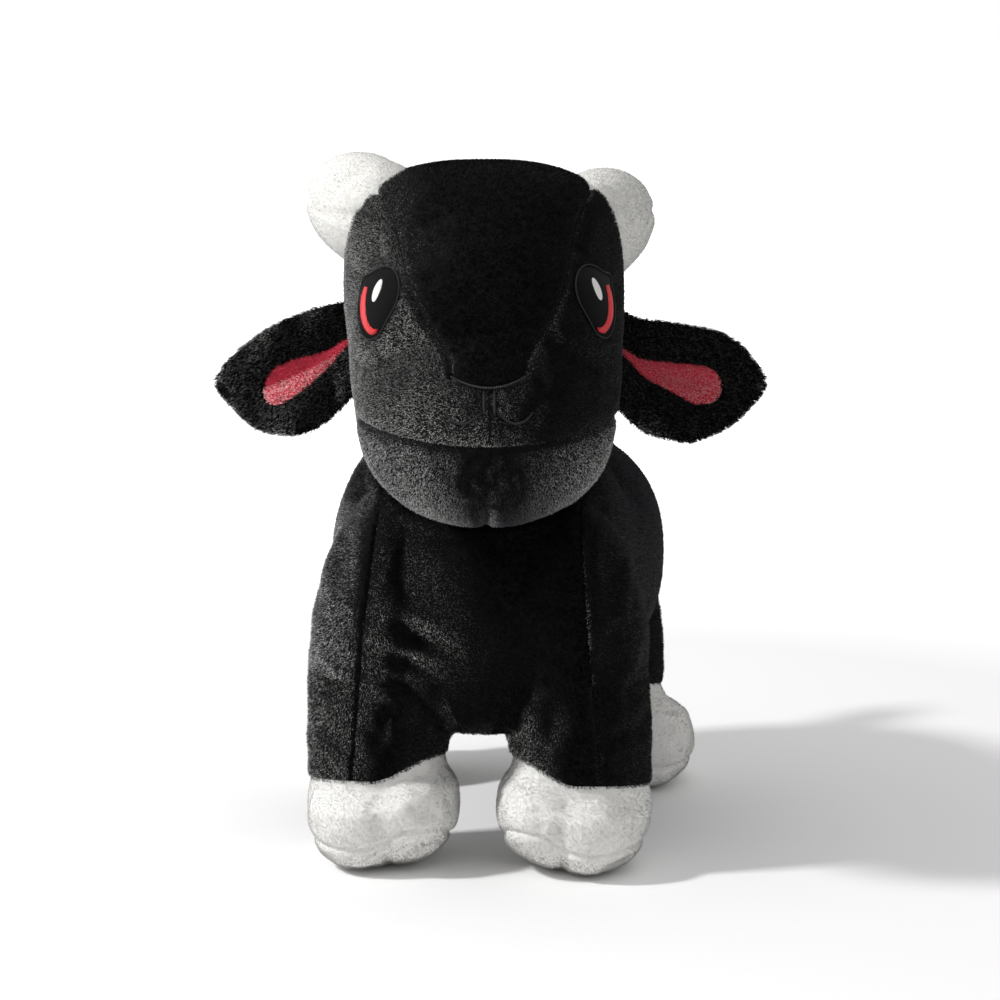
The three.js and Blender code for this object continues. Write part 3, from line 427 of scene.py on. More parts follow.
def skin_of(field, low, high, step):
    """Skin of a field as even quads: one point in each grid cell that the skin crosses, the mean of the crossings on
    the cell's edges, and one quad round each crossed grid edge. The points are then evened out and set on the skin."""
    axes = [np.arange(a, b + step, step) for a, b in zip(low, high)]
    grid = np.stack(np.meshgrid(*axes, indexing="ij"), -1)
    value = field(grid.reshape(-1, 3)).reshape(grid.shape[:3])
    cells = np.array(value.shape) - 1
    ends = [value[tuple(slice(o, o + n) for o, n in zip(c, cells))] for c in CUBE]
    corner = np.stack(ends, -1)
    active = (corner.min(-1) < 0) & (corner.max(-1) >= 0)
    index = np.full(active.shape, -1)
    index[active] = np.arange(active.sum())
    corner = corner[active]
    total, count = np.zeros((len(corner), 3)), np.zeros(len(corner))
    for a, b in CUBE_EDGES:
        crossed = (corner[:, a] < 0) != (corner[:, b] < 0)
        t = corner[:, a] / np.where(crossed, corner[:, a] - corner[:, b], 1)
        total += crossed[:, None] * (CUBE[a] + t[:, None] * (CUBE[b] - CUBE[a]))
        count += crossed
    points = grid[:-1, :-1, :-1][active] + step * total / count[:, None]
    quads = []
    for axis in range(3):
        across = [(axis + 1) % 3, (axis + 2) % 3]
        u, v = np.eye(3, dtype=int)[across]
        inside = value < 0
        near = inside.take(range(0, inside.shape[axis] - 1), axis)
        far = inside.take(range(1, inside.shape[axis]), axis)
        at = np.argwhere(near != far)
        at = at[((at[:, across] > 0) & (at[:, across] < cells[across])).all(1)]
        ring = [index[tuple((at - back).T)] for back in (u + v, v, 0 * u, u)]
        quad = np.stack(ring, 1)
        outward = near[tuple(at.T)]
        quads.append(np.where(outward[:, None], quad, quad[:, ::-1]))
    quads = np.concatenate(quads)
    for _ in range(4):
        points = 0.5 * points + 0.5 * neighbour_mean(points, quads)
        for _ in range(2):
            slope = slope_of(field, points)
            points = points - slope * (field(points) / (slope**2).sum(1))[:, None]
    return points, quads


def neighbour_mean(points, faces):
    """Mean of each point's neighbours along the faces' edges."""
    a, b = faces.ravel(), np.roll(faces, -1, 1).ravel()
    ends, other = np.concatenate([a, b]), np.concatenate([b, a])
    count = np.bincount(ends, minlength=len(points))
    sums = [np.bincount(ends, points[other, i], len(points)) for i in range(3)]
    return np.stack(sums, 1) / np.maximum(count, 1)[:, None]


def normals_of(points, triangles):
    """Normal at each point: the sum of its triangles' normals, weighted by their areas."""
    a, b, c = (points[triangles[:, i]] for i in range(3))
    face = np.cross(b - a, c - a)
    sums = [np.bincount(triangles.ravel(), np.repeat(face[:, i], 3), len(points)) for i in range(3)]
    return unit(np.stack(sums, 1))


def bare_mesh(name, points, faces, smooth=True):
    """A mesh from points in metres and faces of equal corner count."""
    mesh = bpy.data.meshes.new(name)
    mesh.vertices.add(len(points))
    mesh.vertices.foreach_set("co", np.ascontiguousarray(points, np.float32).ravel())
    mesh.loops.add(faces.size)
    mesh.loops.foreach_set("vertex_index", np.ascontiguousarray(faces, np.int32).ravel())
    mesh.polygons.add(len(faces))
    mesh.polygons.foreach_set("loop_start", np.arange(0, faces.size, faces.shape[1], dtype=np.int32))
    mesh.update(calc_edges=True)
    mesh.polygons.foreach_set("use_smooth", np.full(len(faces), smooth))
    return mesh


def read_mesh(mesh):
    """Points in metres and quads of a mesh."""
    points = np.empty(3 * len(mesh.vertices), np.float32)
    mesh.vertices.foreach_get("co", points)
    faces = np.empty(len(mesh.loops), np.int32)
    mesh.loops.foreach_get("vertex_index", faces)
    return points.reshape(-1, 3).astype(float), faces.reshape(-1, 4)


def stuffed(points, quads, held, cap):
    """Fills a skin as stuffing does: cloth held along its seams is blown up from inside, no point moves further than
    the cap, and the result is smoothed by subdivision. Points are in millimetres."""
    scene = bpy.context.scene
    thing = bpy.data.objects.new("stuffing_form", bare_mesh("stuffing_form", points * MM, quads))
    scene.collection.objects.link(thing)
    group = thing.vertex_groups.new(name="held")
    group.add(np.flatnonzero(held).tolist(), 1.0, "REPLACE")
    cloth = thing.modifiers.new("cloth", "CLOTH")
    settings = cloth.settings
    settings.quality = 5
    settings.mass = 0.3
    settings.tension_stiffness = settings.compression_stiffness = 15
    settings.shear_stiffness = 5
    settings.bending_stiffness = 0.3
    settings.vertex_group_mass = "held"
    settings.use_pressure = True
    settings.uniform_pressure_force = 4
    settings.shrink_min = -0.035
    settings.effector_weights.gravity = 0
    cloth.collision_settings.use_collision = False
    for number in range(1, CLOTH_FRAMES + 1):
        scene.frame_set(number)
    depsgraph = bpy.context.evaluated_depsgraph_get()
    blown = read_mesh(thing.evaluated_get(depsgraph).data)[0] / MM
    move = blown - points
    far = np.linalg.norm(move, axis=1)
    move *= (cap * np.tanh(far / cap) / np.maximum(far, 1e-9))[:, None]
    thing.modifiers.remove(cloth)
    scene.frame_set(1)
    thing.data.vertices.foreach_set("co", ((points + move) * MM).astype(np.float32).ravel())
    thing.data.update()
    smoother = thing.modifiers.new("smoother", "SUBSURF")
    smoother.levels = smoother.render_levels = 1
    depsgraph = bpy.context.evaluated_depsgraph_get()
    fine, quads = read_mesh(thing.evaluated_get(depsgraph).data)
    mesh = thing.data
    bpy.data.objects.remove(thing)
    bpy.data.meshes.remove(mesh)
    return fine / MM, in_triangles(quads)


def split_along(points, triangles, value):
    """Cuts triangles where a value given at the points changes sign, so that its zero line runs along edges. A cut
    edge gets a point at value_a / (value_a - value_b) of its length."""
    value = np.where(np.abs(value) < 1e-6, 1e-6, value)
    over = value[triangles] > 0
    mixed = over.any(1) & ~over.all(1)
    kept, cut, over = triangles[~mixed], triangles[mixed], over[mixed]
    lone = np.where(over.sum(1) == 1, over.argmax(1), (~over).argmax(1))
    rows = np.arange(len(cut))
    a, b, c = (cut[rows, (lone + i) % 3] for i in range(3))
    pairs = np.sort(np.concatenate([np.stack([a, b], 1), np.stack([a, c], 1)]), 1)
    pairs, where = np.unique(pairs, axis=0, return_inverse=True)
    first, second = pairs.T
    t = value[first] / (value[first] - value[second])
    fresh = points[first] + t[:, None] * (points[second] - points[first])
    where = where.reshape(-1) + len(points)
    ab, ac = where[: len(cut)], where[len(cut) :]
    parts = [np.stack(p, 1) for p in ((a, ab, ac), (ab, b, c), (ab, c, ac))]
    return np.concatenate([points, fresh]), np.concatenate([kept, *parts])


def ruled(points, triangles, edges):
    """Cuts the skin along its seams and along lines beside them, so that a narrow valley can be pressed in."""
    for edge in edges:
        for beside in BESIDE_SEAM:
            points, triangles = split_along(points, triangles, edge(points) - beside)
    return points, triangles


def drawn_in(points, triangles, distance, depth=None):
    """Pulls the skin in along seams: by depth * exp(-(distance / width)^2), puckered a little along the way."""
    depth = millimetres("seam_depth") if depth is None else depth
    pucker = 1 + 0.3 * np.sin(points @ np.array((0.9, 1.1, 1.3))) * np.sin(points @ np.array((1.7, -0.8, 0.6)))
    fall = depth * pucker * np.exp(-((distance / millimetres("seam_width")) ** 2))
    return points - normals_of(points, triangles) * fall[:, None]


def creased(points, triangles, folds):
    """Presses folds into the skin. A fold is a start, an end, a depth and a half width: the skin falls by depth times
    exp(-(distance to the line / width)^2) and rises half as much beside it."""
    normals = normals_of(points, triangles)
    fall = np.zeros(len(points))
    for start, end, depth, width in folds:
        start, way = np.asarray(start, float), np.asarray(end, float) - np.asarray(start, float)
        along = np.clip((points - start) @ way / (way @ way), 0, 1)
        off = np.linalg.norm(points - start - along[:, None] * way, axis=1) / width
        ends = np.sin(math.pi * np.clip(along, 0.06, 0.94)) ** 0.5
        fall += depth * ends * (np.exp(-(off**2)) - 0.45 * np.exp(-((off - 1.9) ** 2)))
    return points - normals * fall[:, None]


def shell(points, normals, triangles, thickness):
    """A sheet of cloth as a closed body: its outer face, the same face set in by its thickness, and a rim."""
    used, index = np.unique(triangles, return_inverse=True)
    outer = index.reshape(-1, 3)
    count = len(used)
    edges = np.concatenate([outer[:, (0, 1)], outer[:, (1, 2)], outer[:, (2, 0)]])
    key = np.sort(edges, 1)
    _, where, times = np.unique(key, axis=0, return_inverse=True, return_counts=True)
    a, b = edges[times[where.reshape(-1)] == 1].T
    rim = [np.stack((b, a, a + count), 1), np.stack((b, a + count, b + count), 1)]
    both = np.concatenate([points[used], points[used] - thickness * normals[used]])
    return both, np.concatenate([outer, outer[:, ::-1] + count, *rim])


# Materials


def add(tree, kind, inputs=None, **settings):
    """Adds a node with its settings and inputs. An input is a value or another node's output."""
    node = tree.nodes.new(kind)
    for name, value in settings.items():
        setattr(node, name, value)
    for name, value in (inputs or {}).items():
        if isinstance(value, bpy.types.NodeSocket):
            tree.links.new(value, node.inputs[name])
        else:
            node.inputs[name].default_value = value
    return node


def new_material(name):
    """An empty node material, or the one already made under that name."""
    made = bpy.data.materials.get(name)
    if made:
        return made, None
    made = bpy.data.materials.new(name)
    made.use_nodes = True
    made.node_tree.nodes.clear()
    return made, made.node_tree


def rgba(colour, share=1.0):
    return (*(min(1.0, c * share) for c in colour), 1.0)


def surface(tree, inputs):
    """Principled surface on the material's output."""
    shader = add(tree, "ShaderNodeBsdfPrincipled", inputs)
    add(tree, "ShaderNodeOutputMaterial", {"Surface": shader.outputs["BSDF"]})


def pile_material(name, root, tip, roughness, shine, sheen):
    """Short polyester pile, cut and brushed. Each fibre is dark at its root and takes its lighter tip colour toward its
    end by its shade, which holds a random level and painted light and shade, so a painted glint gives the eye a fine
    sparkling grain and a soft edge."""
    made, tree = new_material(name)
    if tree is None:
        return made
    height = add(tree, "ShaderNodeAttribute", attribute_name="tip").outputs["Fac"]
    shade = add(tree, "ShaderNodeAttribute", attribute_name="shade").outputs["Fac"]
    light = add(tree, "ShaderNodeMapRange", {"Value": height, "From Min": 0.45, "From Max": 0.85}).outputs["Result"]
    varied = add(tree, "ShaderNodeMath", {0: light, 1: shade}, operation="MULTIPLY").outputs[0]
    mixed = add(tree, "ShaderNodeMix", {0: varied, 6: rgba(root), 7: rgba(tip)}, data_type="RGBA")
    surface(tree, {
        "Base Color": mixed.outputs[2],
        "Roughness": roughness,
        "Specular IOR Level": shine,
        "Sheen Weight": sheen,
        "Sheen Roughness": 0.35,
        "Sheen Tint": (0.9, 0.92, 1.0, 1.0),
    })
    return made


def backing_material(name, colour):
    """Knitted backing of the plush, seen only between the fibres: matt, with a fine knit of half a millimetre."""
    made, tree = new_material(name)
    if tree is None:
        return made
    place = add(tree, "ShaderNodeTexCoord").outputs["Object"]
    knit = add(tree, "ShaderNodeTexNoise", {"Vector": place, "Scale": 1 / 0.0009, "Detail": 2.0})
    bump = add(tree, "ShaderNodeBump", {"Height": knit.outputs["Fac"], "Strength": 0.5, "Distance": 0.0004})
    shades = {0: knit.outputs["Fac"], 6: rgba(colour, 0.8), 7: rgba(colour, 1.1)}
    mixed = add(tree, "ShaderNodeMix", shades, data_type="RGBA")
    surface(tree, {
        "Base Color": mixed.outputs[2],
        "Roughness": 0.9,
        "Specular IOR Level": 0.2,
        "Normal": bump.outputs["Normal"],
    })
    return made


def thread_material(name, colour, pitch, turn, roughness=0.5, shine=0.2):
    """Rayon embroidery thread in satin rows. The rows run across the patch and catch the light in fine ridges, raised
    by a bump and painted lighter along each ridge, a painted highlight. The rows are drawn at the pitch in millimetres,
    a little coarser than real so that they show."""
    made, tree = new_material(name)
    if tree is None:
        return made
    place = add(tree, "ShaderNodeUVMap", uv_map="cloth").outputs["UV"]
    turned = add(tree, "ShaderNodeMapping", {"Vector": place, "Rotation": (0, 0, turn)})
    rows = add(
        tree, "ShaderNodeTexWave", {"Vector": turned.outputs["Vector"], "Scale": 2 * math.pi / (20 * pitch * MM),
                                   "Distortion": 1.2, "Detail": 2.0, "Detail Scale": 3.0},
        wave_type="BANDS", bands_direction="X",
    )
    flecks = add(tree, "ShaderNodeTexNoise", {"Vector": turned.outputs["Vector"], "Scale": 1 / 0.0007, "Detail": 1.0})
    height = add(tree, "ShaderNodeMath", {0: rows.outputs["Fac"], 1: flecks.outputs["Fac"]}, operation="ADD")
    bump = add(tree, "ShaderNodeBump", {"Height": height.outputs[0], "Strength": 0.7, "Distance": 0.00025})
    # Painted highlight: the thread runs lighter on each row's ridge and darker between.
    shades = {0: rows.outputs["Fac"], 6: rgba(colour, 0.7), 7: rgba(colour, 1.1)}
    mixed = add(tree, "ShaderNodeMix", shades, data_type="RGBA")
    surface(tree, {
        "Base Color": mixed.outputs[2],
        "Roughness": roughness,
        "Specular IOR Level": shine,
        "Normal": bump.outputs["Normal"],
    })
    return made


# Pieces


def show(name, mesh, material, body, nodes=(), bend=None):
    """Links a finished mesh as a piece that rides on a body, or, given a bend, leaves it in the shared frame without
    one.
    """
    mesh.materials.append(material)
    thing = bpy.data.objects.new(name, mesh)
    bpy.context.scene.collection.objects.link(thing)
    if bend is None:
        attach(thing, body)
    else:
        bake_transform(thing)
    if nodes:
        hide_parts(*nodes)
    return thing


# A pile is the length it takes, its fibres on a square millimetre, their width in millimetres and lean in degrees, and
# whatever departs from the usual pile.
USUAL_PILE = {
    "tuft": 1.7,  # size of a tuft, whose fibres lean together
    "clump": 0.35,  # how strongly they do
    "bent": False,  # pointed blades instead of cut fibres
    "low": 0.12,  # how light the darkest tips are
    "power": 2.2,  # how rare light tips are
    "gain": 0.79,  # how light the lightest tips are
    # deep, near, wane, far and under set the painted light and shade of painted_side_light.
    "deep": 0.994,  # how much of its shade is painted side light, painted dark where it faces away from the key lamp
    "near": 0.0,  # how far round from the toy's right it looks light
    "wane": 0.0,  # how much of that light is lost full on the right
    "far": 0.14,  # how light it looks on the toy's left
    "under": 0.0,  # how light it looks from below
    "rough": 0.35,  # how unevenly its fibres face
    "turn": (0, 0, 0),  # which way its fibres' shading normals turn where painted light is given
}
PALE_PILE = {"tuft": 1.0, "low": 0.2, "power": 1.0, "gain": 1.0, "deep": 0.0, "rough": 0.25}
PINK_PILE = {"tuft": 1.3, "clump": 0.3, "low": 0.6, "power": 1.2, "gain": 1.0, "deep": 0.0, "rough": 0.25}
PILES = {
    "chest": ("body_pile", 4.8, 0.23, 42, {"near": 0.35, "under": 0.9}),
    "flank": ("body_pile", 4.4, 0.24, 46, {"near": 0.06, "under": 0.45}),
    "leg_left": ("body_pile", 4.8, 0.22, 42, {"near": -0.15}),
    "leg_right": ("body_pile", 4.8, 0.22, 42, {"near": 0.12}),
    "hoof": ("grey_pile", 5.0, 0.18, 30, {**PALE_PILE, "clump": 0.12}),
    "tail": ("ear_pile", 5.0, 0.32, 52, {"tuft": 2.2, "clump": 0.5, "bent": True}),
    "face": ("chin_pile", 4.8, 0.22, 40, {"tuft": 1.3, "near": -0.12}),
    "cheek": ("chin_pile", 5.6, 0.2, 40, {"tuft": 1.3, "near": 0.46, "wane": 0.35, "power": 1.4}),
    "chin": ("chin_pile", 6.0, 0.2, 46,
             {"tuft": 1.3, "clump": 0.3, "near": 0.12, "far": 1.4, "wane": 0.2, "power": 1.8}),
    "horn": ("grey_pile", 5.0, 0.18, 34, {**PALE_PILE, "clump": 0.1}),
    "ear": ("ear_pile", 6.6, 0.3, 56,
            {"tuft": 2.3, "clump": 0.6, "bent": True, "low": 0.0, "gain": 1.0, "deep": 0.9, "near": 0.1}),
    "lining_left": ("lining_pile", 6.0, 0.3, 48, {**PINK_PILE, "turn": (-0.5, -0.1, 0.5)}),
    "lining_right": ("lining_pile", 6.0, 0.3, 48, {**PINK_PILE, "turn": (-1.4, -0.2, 1.3)}),
}
# Triangles of a cut and of a bent fibre, its corners' heights and their places in its cell of the pile's map
FIBRES = {
    False: (((0, 1, 2),), (0.0, 1.0, 1.0), ((0.5, 0.1), (0.1, 0.9), (0.9, 0.9))),
    True: (((0, 1, 2), (0, 2, 3), (3, 2, 4)), (0.0, 0.0, 0.55, 0.55, 1.0),
           ((0.1, 0.1), (0.9, 0.1), (0.8, 0.5), (0.2, 0.5), (0.5, 0.9))),
}


def painted_side_light(kind, facing):
    """Painted light and shade of a pile by the way its cloth faces, standing in for the key lamp on the toy's right:
    lightest on the toy's right, less on its left, from below and from behind, and painted dark where it faces up."""
    near = 1.6 * smooth((kind["near"] - facing[:, 0]) / 0.55)
    near = near * (1 - kind["wane"] * smooth((-0.3 - facing[:, 0]) / 0.4))
    far = kind["far"] * smooth((facing[:, 0] - 0.1) / 0.8)
    sides = np.maximum(near, far) * (1 - 0.8 * smooth(facing[:, 2] + 0.35))
    under = kind["under"] * np.clip((-0.15 - facing[:, 2]) / 0.5, 0, 1)
    return np.maximum.reduce([sides, under, 0.26 * smooth((facing[:, 1] - 0.15) / 0.7)])


def strands(name, points, normals, triangles, place, nap, pile, keep=None, clip=None, painted_light=None):
    """Pile as thin fibres. Roots are spread evenly over the triangles by area, each fibre leans by its kind's angle
    along the nap, neighbours lean together in small tufts, and fibres shorten toward a seam. A cut fibre is thin at its
    root and blunt at its end; a bent one is a pointed blade of three triangles."""
    length, density, width, lean, own = PILES[pile]
    kind = {**USUAL_PILE, **own}
    rng = np.random.default_rng(list(name.encode()))
    corner = points[triangles]
    area = 0.5 * np.linalg.norm(np.cross(corner[:, 1] - corner[:, 0], corner[:, 2] - corner[:, 0]), axis=1)
    count = int(area.sum() * density)
    pick = np.minimum(np.searchsorted(np.cumsum(area), rng.random(count) * area.sum()), len(area) - 1)
    s, t = np.sqrt(rng.random(count)), rng.random(count)
    share = np.stack((1 - s, s * (1 - t), s * t), 1)[:, :, None]
    root = (corner[pick] * share).sum(1)
    normal = unit((normals[triangles[pick]] * share).sum(1))
    if keep is not None:
        kept = keep(root)
        root, normal = root[kept], normal[kept]
    count = len(root)
    along = nap(root)
    along = unit(along - normal * (along * normal).sum(1, keepdims=True))
    aside = np.cross(normal, along)
    # Fibres of one cell share two numbers, hashed from the cell's place, that say how its tuft leans.
    cell = np.floor(root / kind["tuft"] + 0.4 * np.sin(root[:, (1, 2, 0)] * 1.9)).astype(np.int64)
    mark = (cell * np.array((73856093, 19349663, 83492791))).sum(1)
    lean_a, lean_b = (np.modf(np.abs(np.sin(mark * k)) * 43758.5453)[0] - 0.5 for k in (0.0129898, 0.0078233))
    jitter = rng.normal(0, 1, (3, count))
    lean = math.radians(lean) + 0.22 * jitter[0]
    direction = unit(
        normal * np.cos(lean)[:, None]
        + along * (np.sin(lean) + kind["clump"] * lean_a)[:, None]
        + aside * (0.2 * jitter[1] + kind["clump"] * 1.6 * lean_b)[:, None]
    )
    worn = np.ones(count) if clip is None else clip(root)
    length = (millimetres(length) * (0.72 + 0.5 * rng.random(count)) * worn)[:, None]
    across = unit(np.cross(direction, normal))
    twist = rng.normal(0, 0.6, count)[:, None]
    blade = across * np.cos(twist) + np.cross(direction, across) * np.sin(twist)
    half = 0.5 * width * (0.7 + 0.6 * rng.random(count))[:, None] * blade
    base = root - 0.35 * normal
    tip = root + length * direction - 0.12 * length * normal
    if kind["bent"]:
        bow = root + 0.55 * length * unit(direction + 0.35 * normal)
        corners = (base - half, base + half, bow + 0.8 * half, bow - 0.8 * half, tip)
    else:
        corners = (base, tip + half, tip - half)
    order, heights, local = FIBRES[kind["bent"]]
    each = len(heights)
    faces = (np.arange(count)[:, None, None] * each + np.array(order)).reshape(-1, 3)
    mesh = bare_mesh(name, placed(np.stack(corners, 1).reshape(-1, 3), place), faces)
    facets = unit(normal * 0.7 + direction * 0.5 + kind["rough"] * rng.normal(0, 1, (count, 3)))
    # Each fibre's shade is a random level for its glint, darkened by deep wherever the painted side light is low:
    # painted light and shade.
    light = rng.random(count) ** kind["power"] * (0.7 + 0.6 * (lean_a + 0.5))
    shade = kind["gain"] * (kind["low"] + (1 - kind["low"]) * light)
    shade = shade * (1 - kind["deep"] * (1 - painted_side_light(kind, normal @ place[0].T)))
    # Painted light and shade given by place scale the shade and turn the shading normals by the kind's turn.
    if painted_light is not None:
        level = painted_light(root)
        shade = shade * level
        facets = unit(facets + level[:, None] * np.asarray(kind["turn"]))
    for attribute, values in (("tip", np.tile(heights, count)), ("shade", np.repeat(shade, each))):
        mesh.attributes.new(attribute, "FLOAT", "POINT").data.foreach_set("value", values.astype(np.float32))
    shading = np.repeat(facets @ place[0].T, each, 0).astype(np.float32)
    mesh.attributes.new("custom_normal", "FLOAT_VECTOR", "POINT").data.foreach_set("vector", shading.ravel())
    side = math.ceil(math.sqrt(count))
    spots = np.stack((np.arange(count) % side, np.arange(count) // side), 1)[:, None, :]
    chart = ((spots + np.array(local)[None]) / side).reshape(-1, 2)
    mesh.uv_layers.new(name="OFBake").data.foreach_set("uv", chart[faces.ravel()].astype(np.float32).ravel())
    return mesh


PLUSH = {
    "black": ("Black polyester plush", "black", "glint", 0.5, 0.0, 0.02, "black_plush"),
    "slate": ("Brushed black polyester plush", "slate", "glint", 0.5, 0.0, 0.08, "black_plush"),
    "grey": ("Pale grey polyester plush", "grey", "grey_tip", 0.8, 0.1, 0.05, "grey_plush"),
    # The hooves' copy of the horns' plush, its colours painted lighter for the lamp's weaker light on them.
    "pale": ("Brushed pale grey polyester plush", "pale", "pale_tip", 0.8, 0.1, 0.05, "grey_plush"),
    "pink": ("Pink polyester plush", "pink", "pink_tip", 0.7, 0.1, 0.08, "pink_plush"),
}


def plush(kind):
    """Pile material, backing material and record slot of one plush."""
    title, root, tip, roughness, shine, sheen, slot = PLUSH[kind]
    colours = bpy.context.scene.goat_colours
    root, tip = tuple(getattr(colours, root)), tuple(getattr(colours, tip))
    pile = pile_material(title + " pile", root, tip, roughness, shine, sheen)
    return pile, backing_material(title + " backing", root), slot


def panel(name, skin, triangles, place, body, nodes, cloth, nap, pile, keep=None, clip=None, bend=None, painted_light=None):
    """One sewn panel: a shell of cloth and its pile, made from some of a skin's triangles."""
    points, normals = skin
    fur, backing, slot = plush(cloth)
    sheet, faces = shell(points, normals, triangles, millimetres("cloth"))
    mesh = bare_mesh(name, placed(sheet, place), faces)
    mesh.set_sharp_from_angle(angle=math.radians(60))
    show(name, mesh, backing, body, nodes, bend)
    fibres = strands(name + "_pile", points, normals, triangles, place, nap, pile, keep, clip, painted_light)
    show(name + "_pile", fibres, fur, body, (), bend)


def toward(*way):
    """Nap that lies one way everywhere."""
    return lambda root: np.broadcast_to(np.array(way, float), root.shape)


# Trunk and legs


def chest_side(points):
    """Distance outside the two leaning seams beside the chest."""
    c, s = math.cos(CHEST_LEAN), math.sin(CHEST_LEAN)
    return (np.abs(points[:, 0]) - CHEST_SEAM_X) * c + (points[:, 2] - CHEST_SEAM_Z) * s


def throat_slope(points):
    """Distance above the sloping plane from throat to tail."""
    return (points - SLOPE_POINT) @ SLOPE_NORMAL


def gusset_edge(points):
    return np.maximum(chest_side(points), throat_slope(points))


def chest_end(points):
    """Distance past the plane where the chest panel ends and the belly begins."""
    back, up = points[:, 1] - LEGS["front"]["y"], points[:, 2] - HOOF_SEAM
    return back * math.cos(CHEST_END) - up * math.sin(CHEST_END)


def leg_edge(points):
    """Negative inside a leg's own cloth: under the thigh and near the leg's middle."""
    x, y, _ = leg_middle(points)
    return np.maximum(points[:, 2] - LEG_CUT, np.hypot(points[:, 0] - x, points[:, 1] - y) - LEG_CUT_RADIUS)


def trunk_seams(points):
    """Distance to the nearest seam of the trunk."""
    gusset = np.abs(gusset_edge(points))
    inside = gusset_edge(points) < 0
    ends = np.where(inside & (leg_edge(points) > 0), np.abs(chest_end(points)), FAR)
    spine = np.where(inside, FAR, np.abs(points[:, 0]))
    return np.minimum.reduce([gusset, ends, spine])


def pressed_by_head(points, triangles):
    """Presses the chest and shoulders in wherever the turning head would touch them."""
    normals = normals_of(points, triangles)
    near = in_bowl(points) < 125
    deep = np.zeros(near.sum())
    for swing in HEAD_SWINGS:
        for dip in HEAD_DIPS:
            turned = turn_about_z(HEAD_TURN + swing) @ turn_about_x(dip)
            deep = np.maximum(deep, HEAD_ROOM - head_field((points[near] - NECK) @ turned))
    rim = np.clip((in_bowl(points)[near] - NECK_BALL) / 4, 0, 1)
    points = points.copy()
    points[near] -= normals[near] * (np.clip(deep, 0, MOST_PRESSED) * rim)[:, None]
    return points


def clip_to(seams, least=0.5, width=1.4):
    """Fibres shorten near a seam, where their roots are sewn in."""
    return lambda root: 1 - (1 - least) * np.exp(-((seams(root) / width) ** 2))


def chest_painted_light(root):
    """Painted light and shade on the chest: light on the toy's right and along the lower edge, dark where the head
    shades it.
    """
    right = fade(root[:, 0] + 14 + 0.25 * (root[:, 2] - 110), 6) * fade(90 - root[:, 2], 4)
    return np.maximum(0.02 + 1.4 * right, 0.25 * fade(root[:, 2] - 63, 2))


class GOAT_OT_torso(bpy.types.Operator):
    """Chest, belly, flanks and leg sleeves, cut from one stuffed skin"""

    bl_idname = "goat.torso"
    bl_label = "Trunk and legs"

    def execute(self, context):
        rim = NECK_BALL + 1.6
        points, quads = skin_of(lambda p: torso_field(p) + TORSO_INSET, *TORSO_SPACE)
        held = (trunk_seams(points) < 3) | (points[:, 2] < 50) | (in_bowl(points) < NECK_BALL + 5)
        points, triangles = stuffed(points, quads, held, 1.8)
        points = pressed_by_head(points, triangles)
        points, triangles = ruled(points, triangles, (gusset_edge, chest_end, lambda p: p[:, 0], below_hoof_seam))
        hoof = np.where(leg_edge(points) < 0, np.abs(below_hoof_seam(points)), FAR)
        points = drawn_in(points, triangles, np.minimum(trunk_seams(points), hoof))
        points = creased(points, triangles, FOLDS)
        points, triangles = split_along(points, triangles, leg_edge(points))
        points, triangles = split_along(points, triangles, in_bowl(points) - rim)
        skin = (points, normals_of(points, triangles))
        middle = points[triangles].mean(1)
        leg = leg_edge(middle) < 0
        shown = ((below_hoof_seam(middle) < 0) | ~leg) & (in_bowl(middle) > rim) & (middle[:, 2] > 24)
        gusset = (gusset_edge(middle) < 0) & ~leg
        belly = chest_end(middle) > 0
        clip = clip_to(trunk_seams)

        def clear(root):
            return in_bowl(root) > NECK_BALL + 3.5

        panel("chest_panel", skin, triangles[shown & gusset & ~belly], TRUNK_PLACE, "torso", ["chest_panel"],
              "black", toward(1, 0, -0.6), "chest", clear, clip, painted_light=chest_painted_light)
        panel("belly_panel", skin, triangles[shown & gusset & belly], TRUNK_PLACE, "torso", ["belly_panel"],
              "black", toward(1, 0.6, -0.1), "flank", clear, clip)
        for side, sign in SIDES:
            half = shown & (middle[:, 0] * sign > 0)
            nodes = ["side_panel_" + side] + (["torso_stuffing"] if sign > 0 else [])
            panel("side_panel_" + side, skin, triangles[half & ~leg & ~gusset], TRUNK_PLACE, "torso", nodes,
                  "slate", toward(0, 0.75, -0.65), "flank", clear, clip)
            for kind in LEGS:
                mine = half & leg & ((middle[:, 1] < 0) == (kind == "front"))
                name = f"leg_cover_{kind}_{side}"
                panel(name, skin, triangles[mine], TRUNK_PLACE, "torso", [name], "black", toward(0.8, 0.2, -1),
                      "leg_" + side, None, clip)
        return {"FINISHED"}


def over_sole(points, kind, sign):
    """Height over the sole seam, which rises over the inner toe at the front."""
    leg = LEGS[kind]
    inward = fade(sign * (points[:, 0] - leg["aside"]) - leg["hoof"] + SOLE["inside"], 2.5)
    return points[:, 2] - SOLE["z"] - SOLE["rise"] * inward * fade(points[:, 1] - leg["y"] + SOLE["back"], 5)


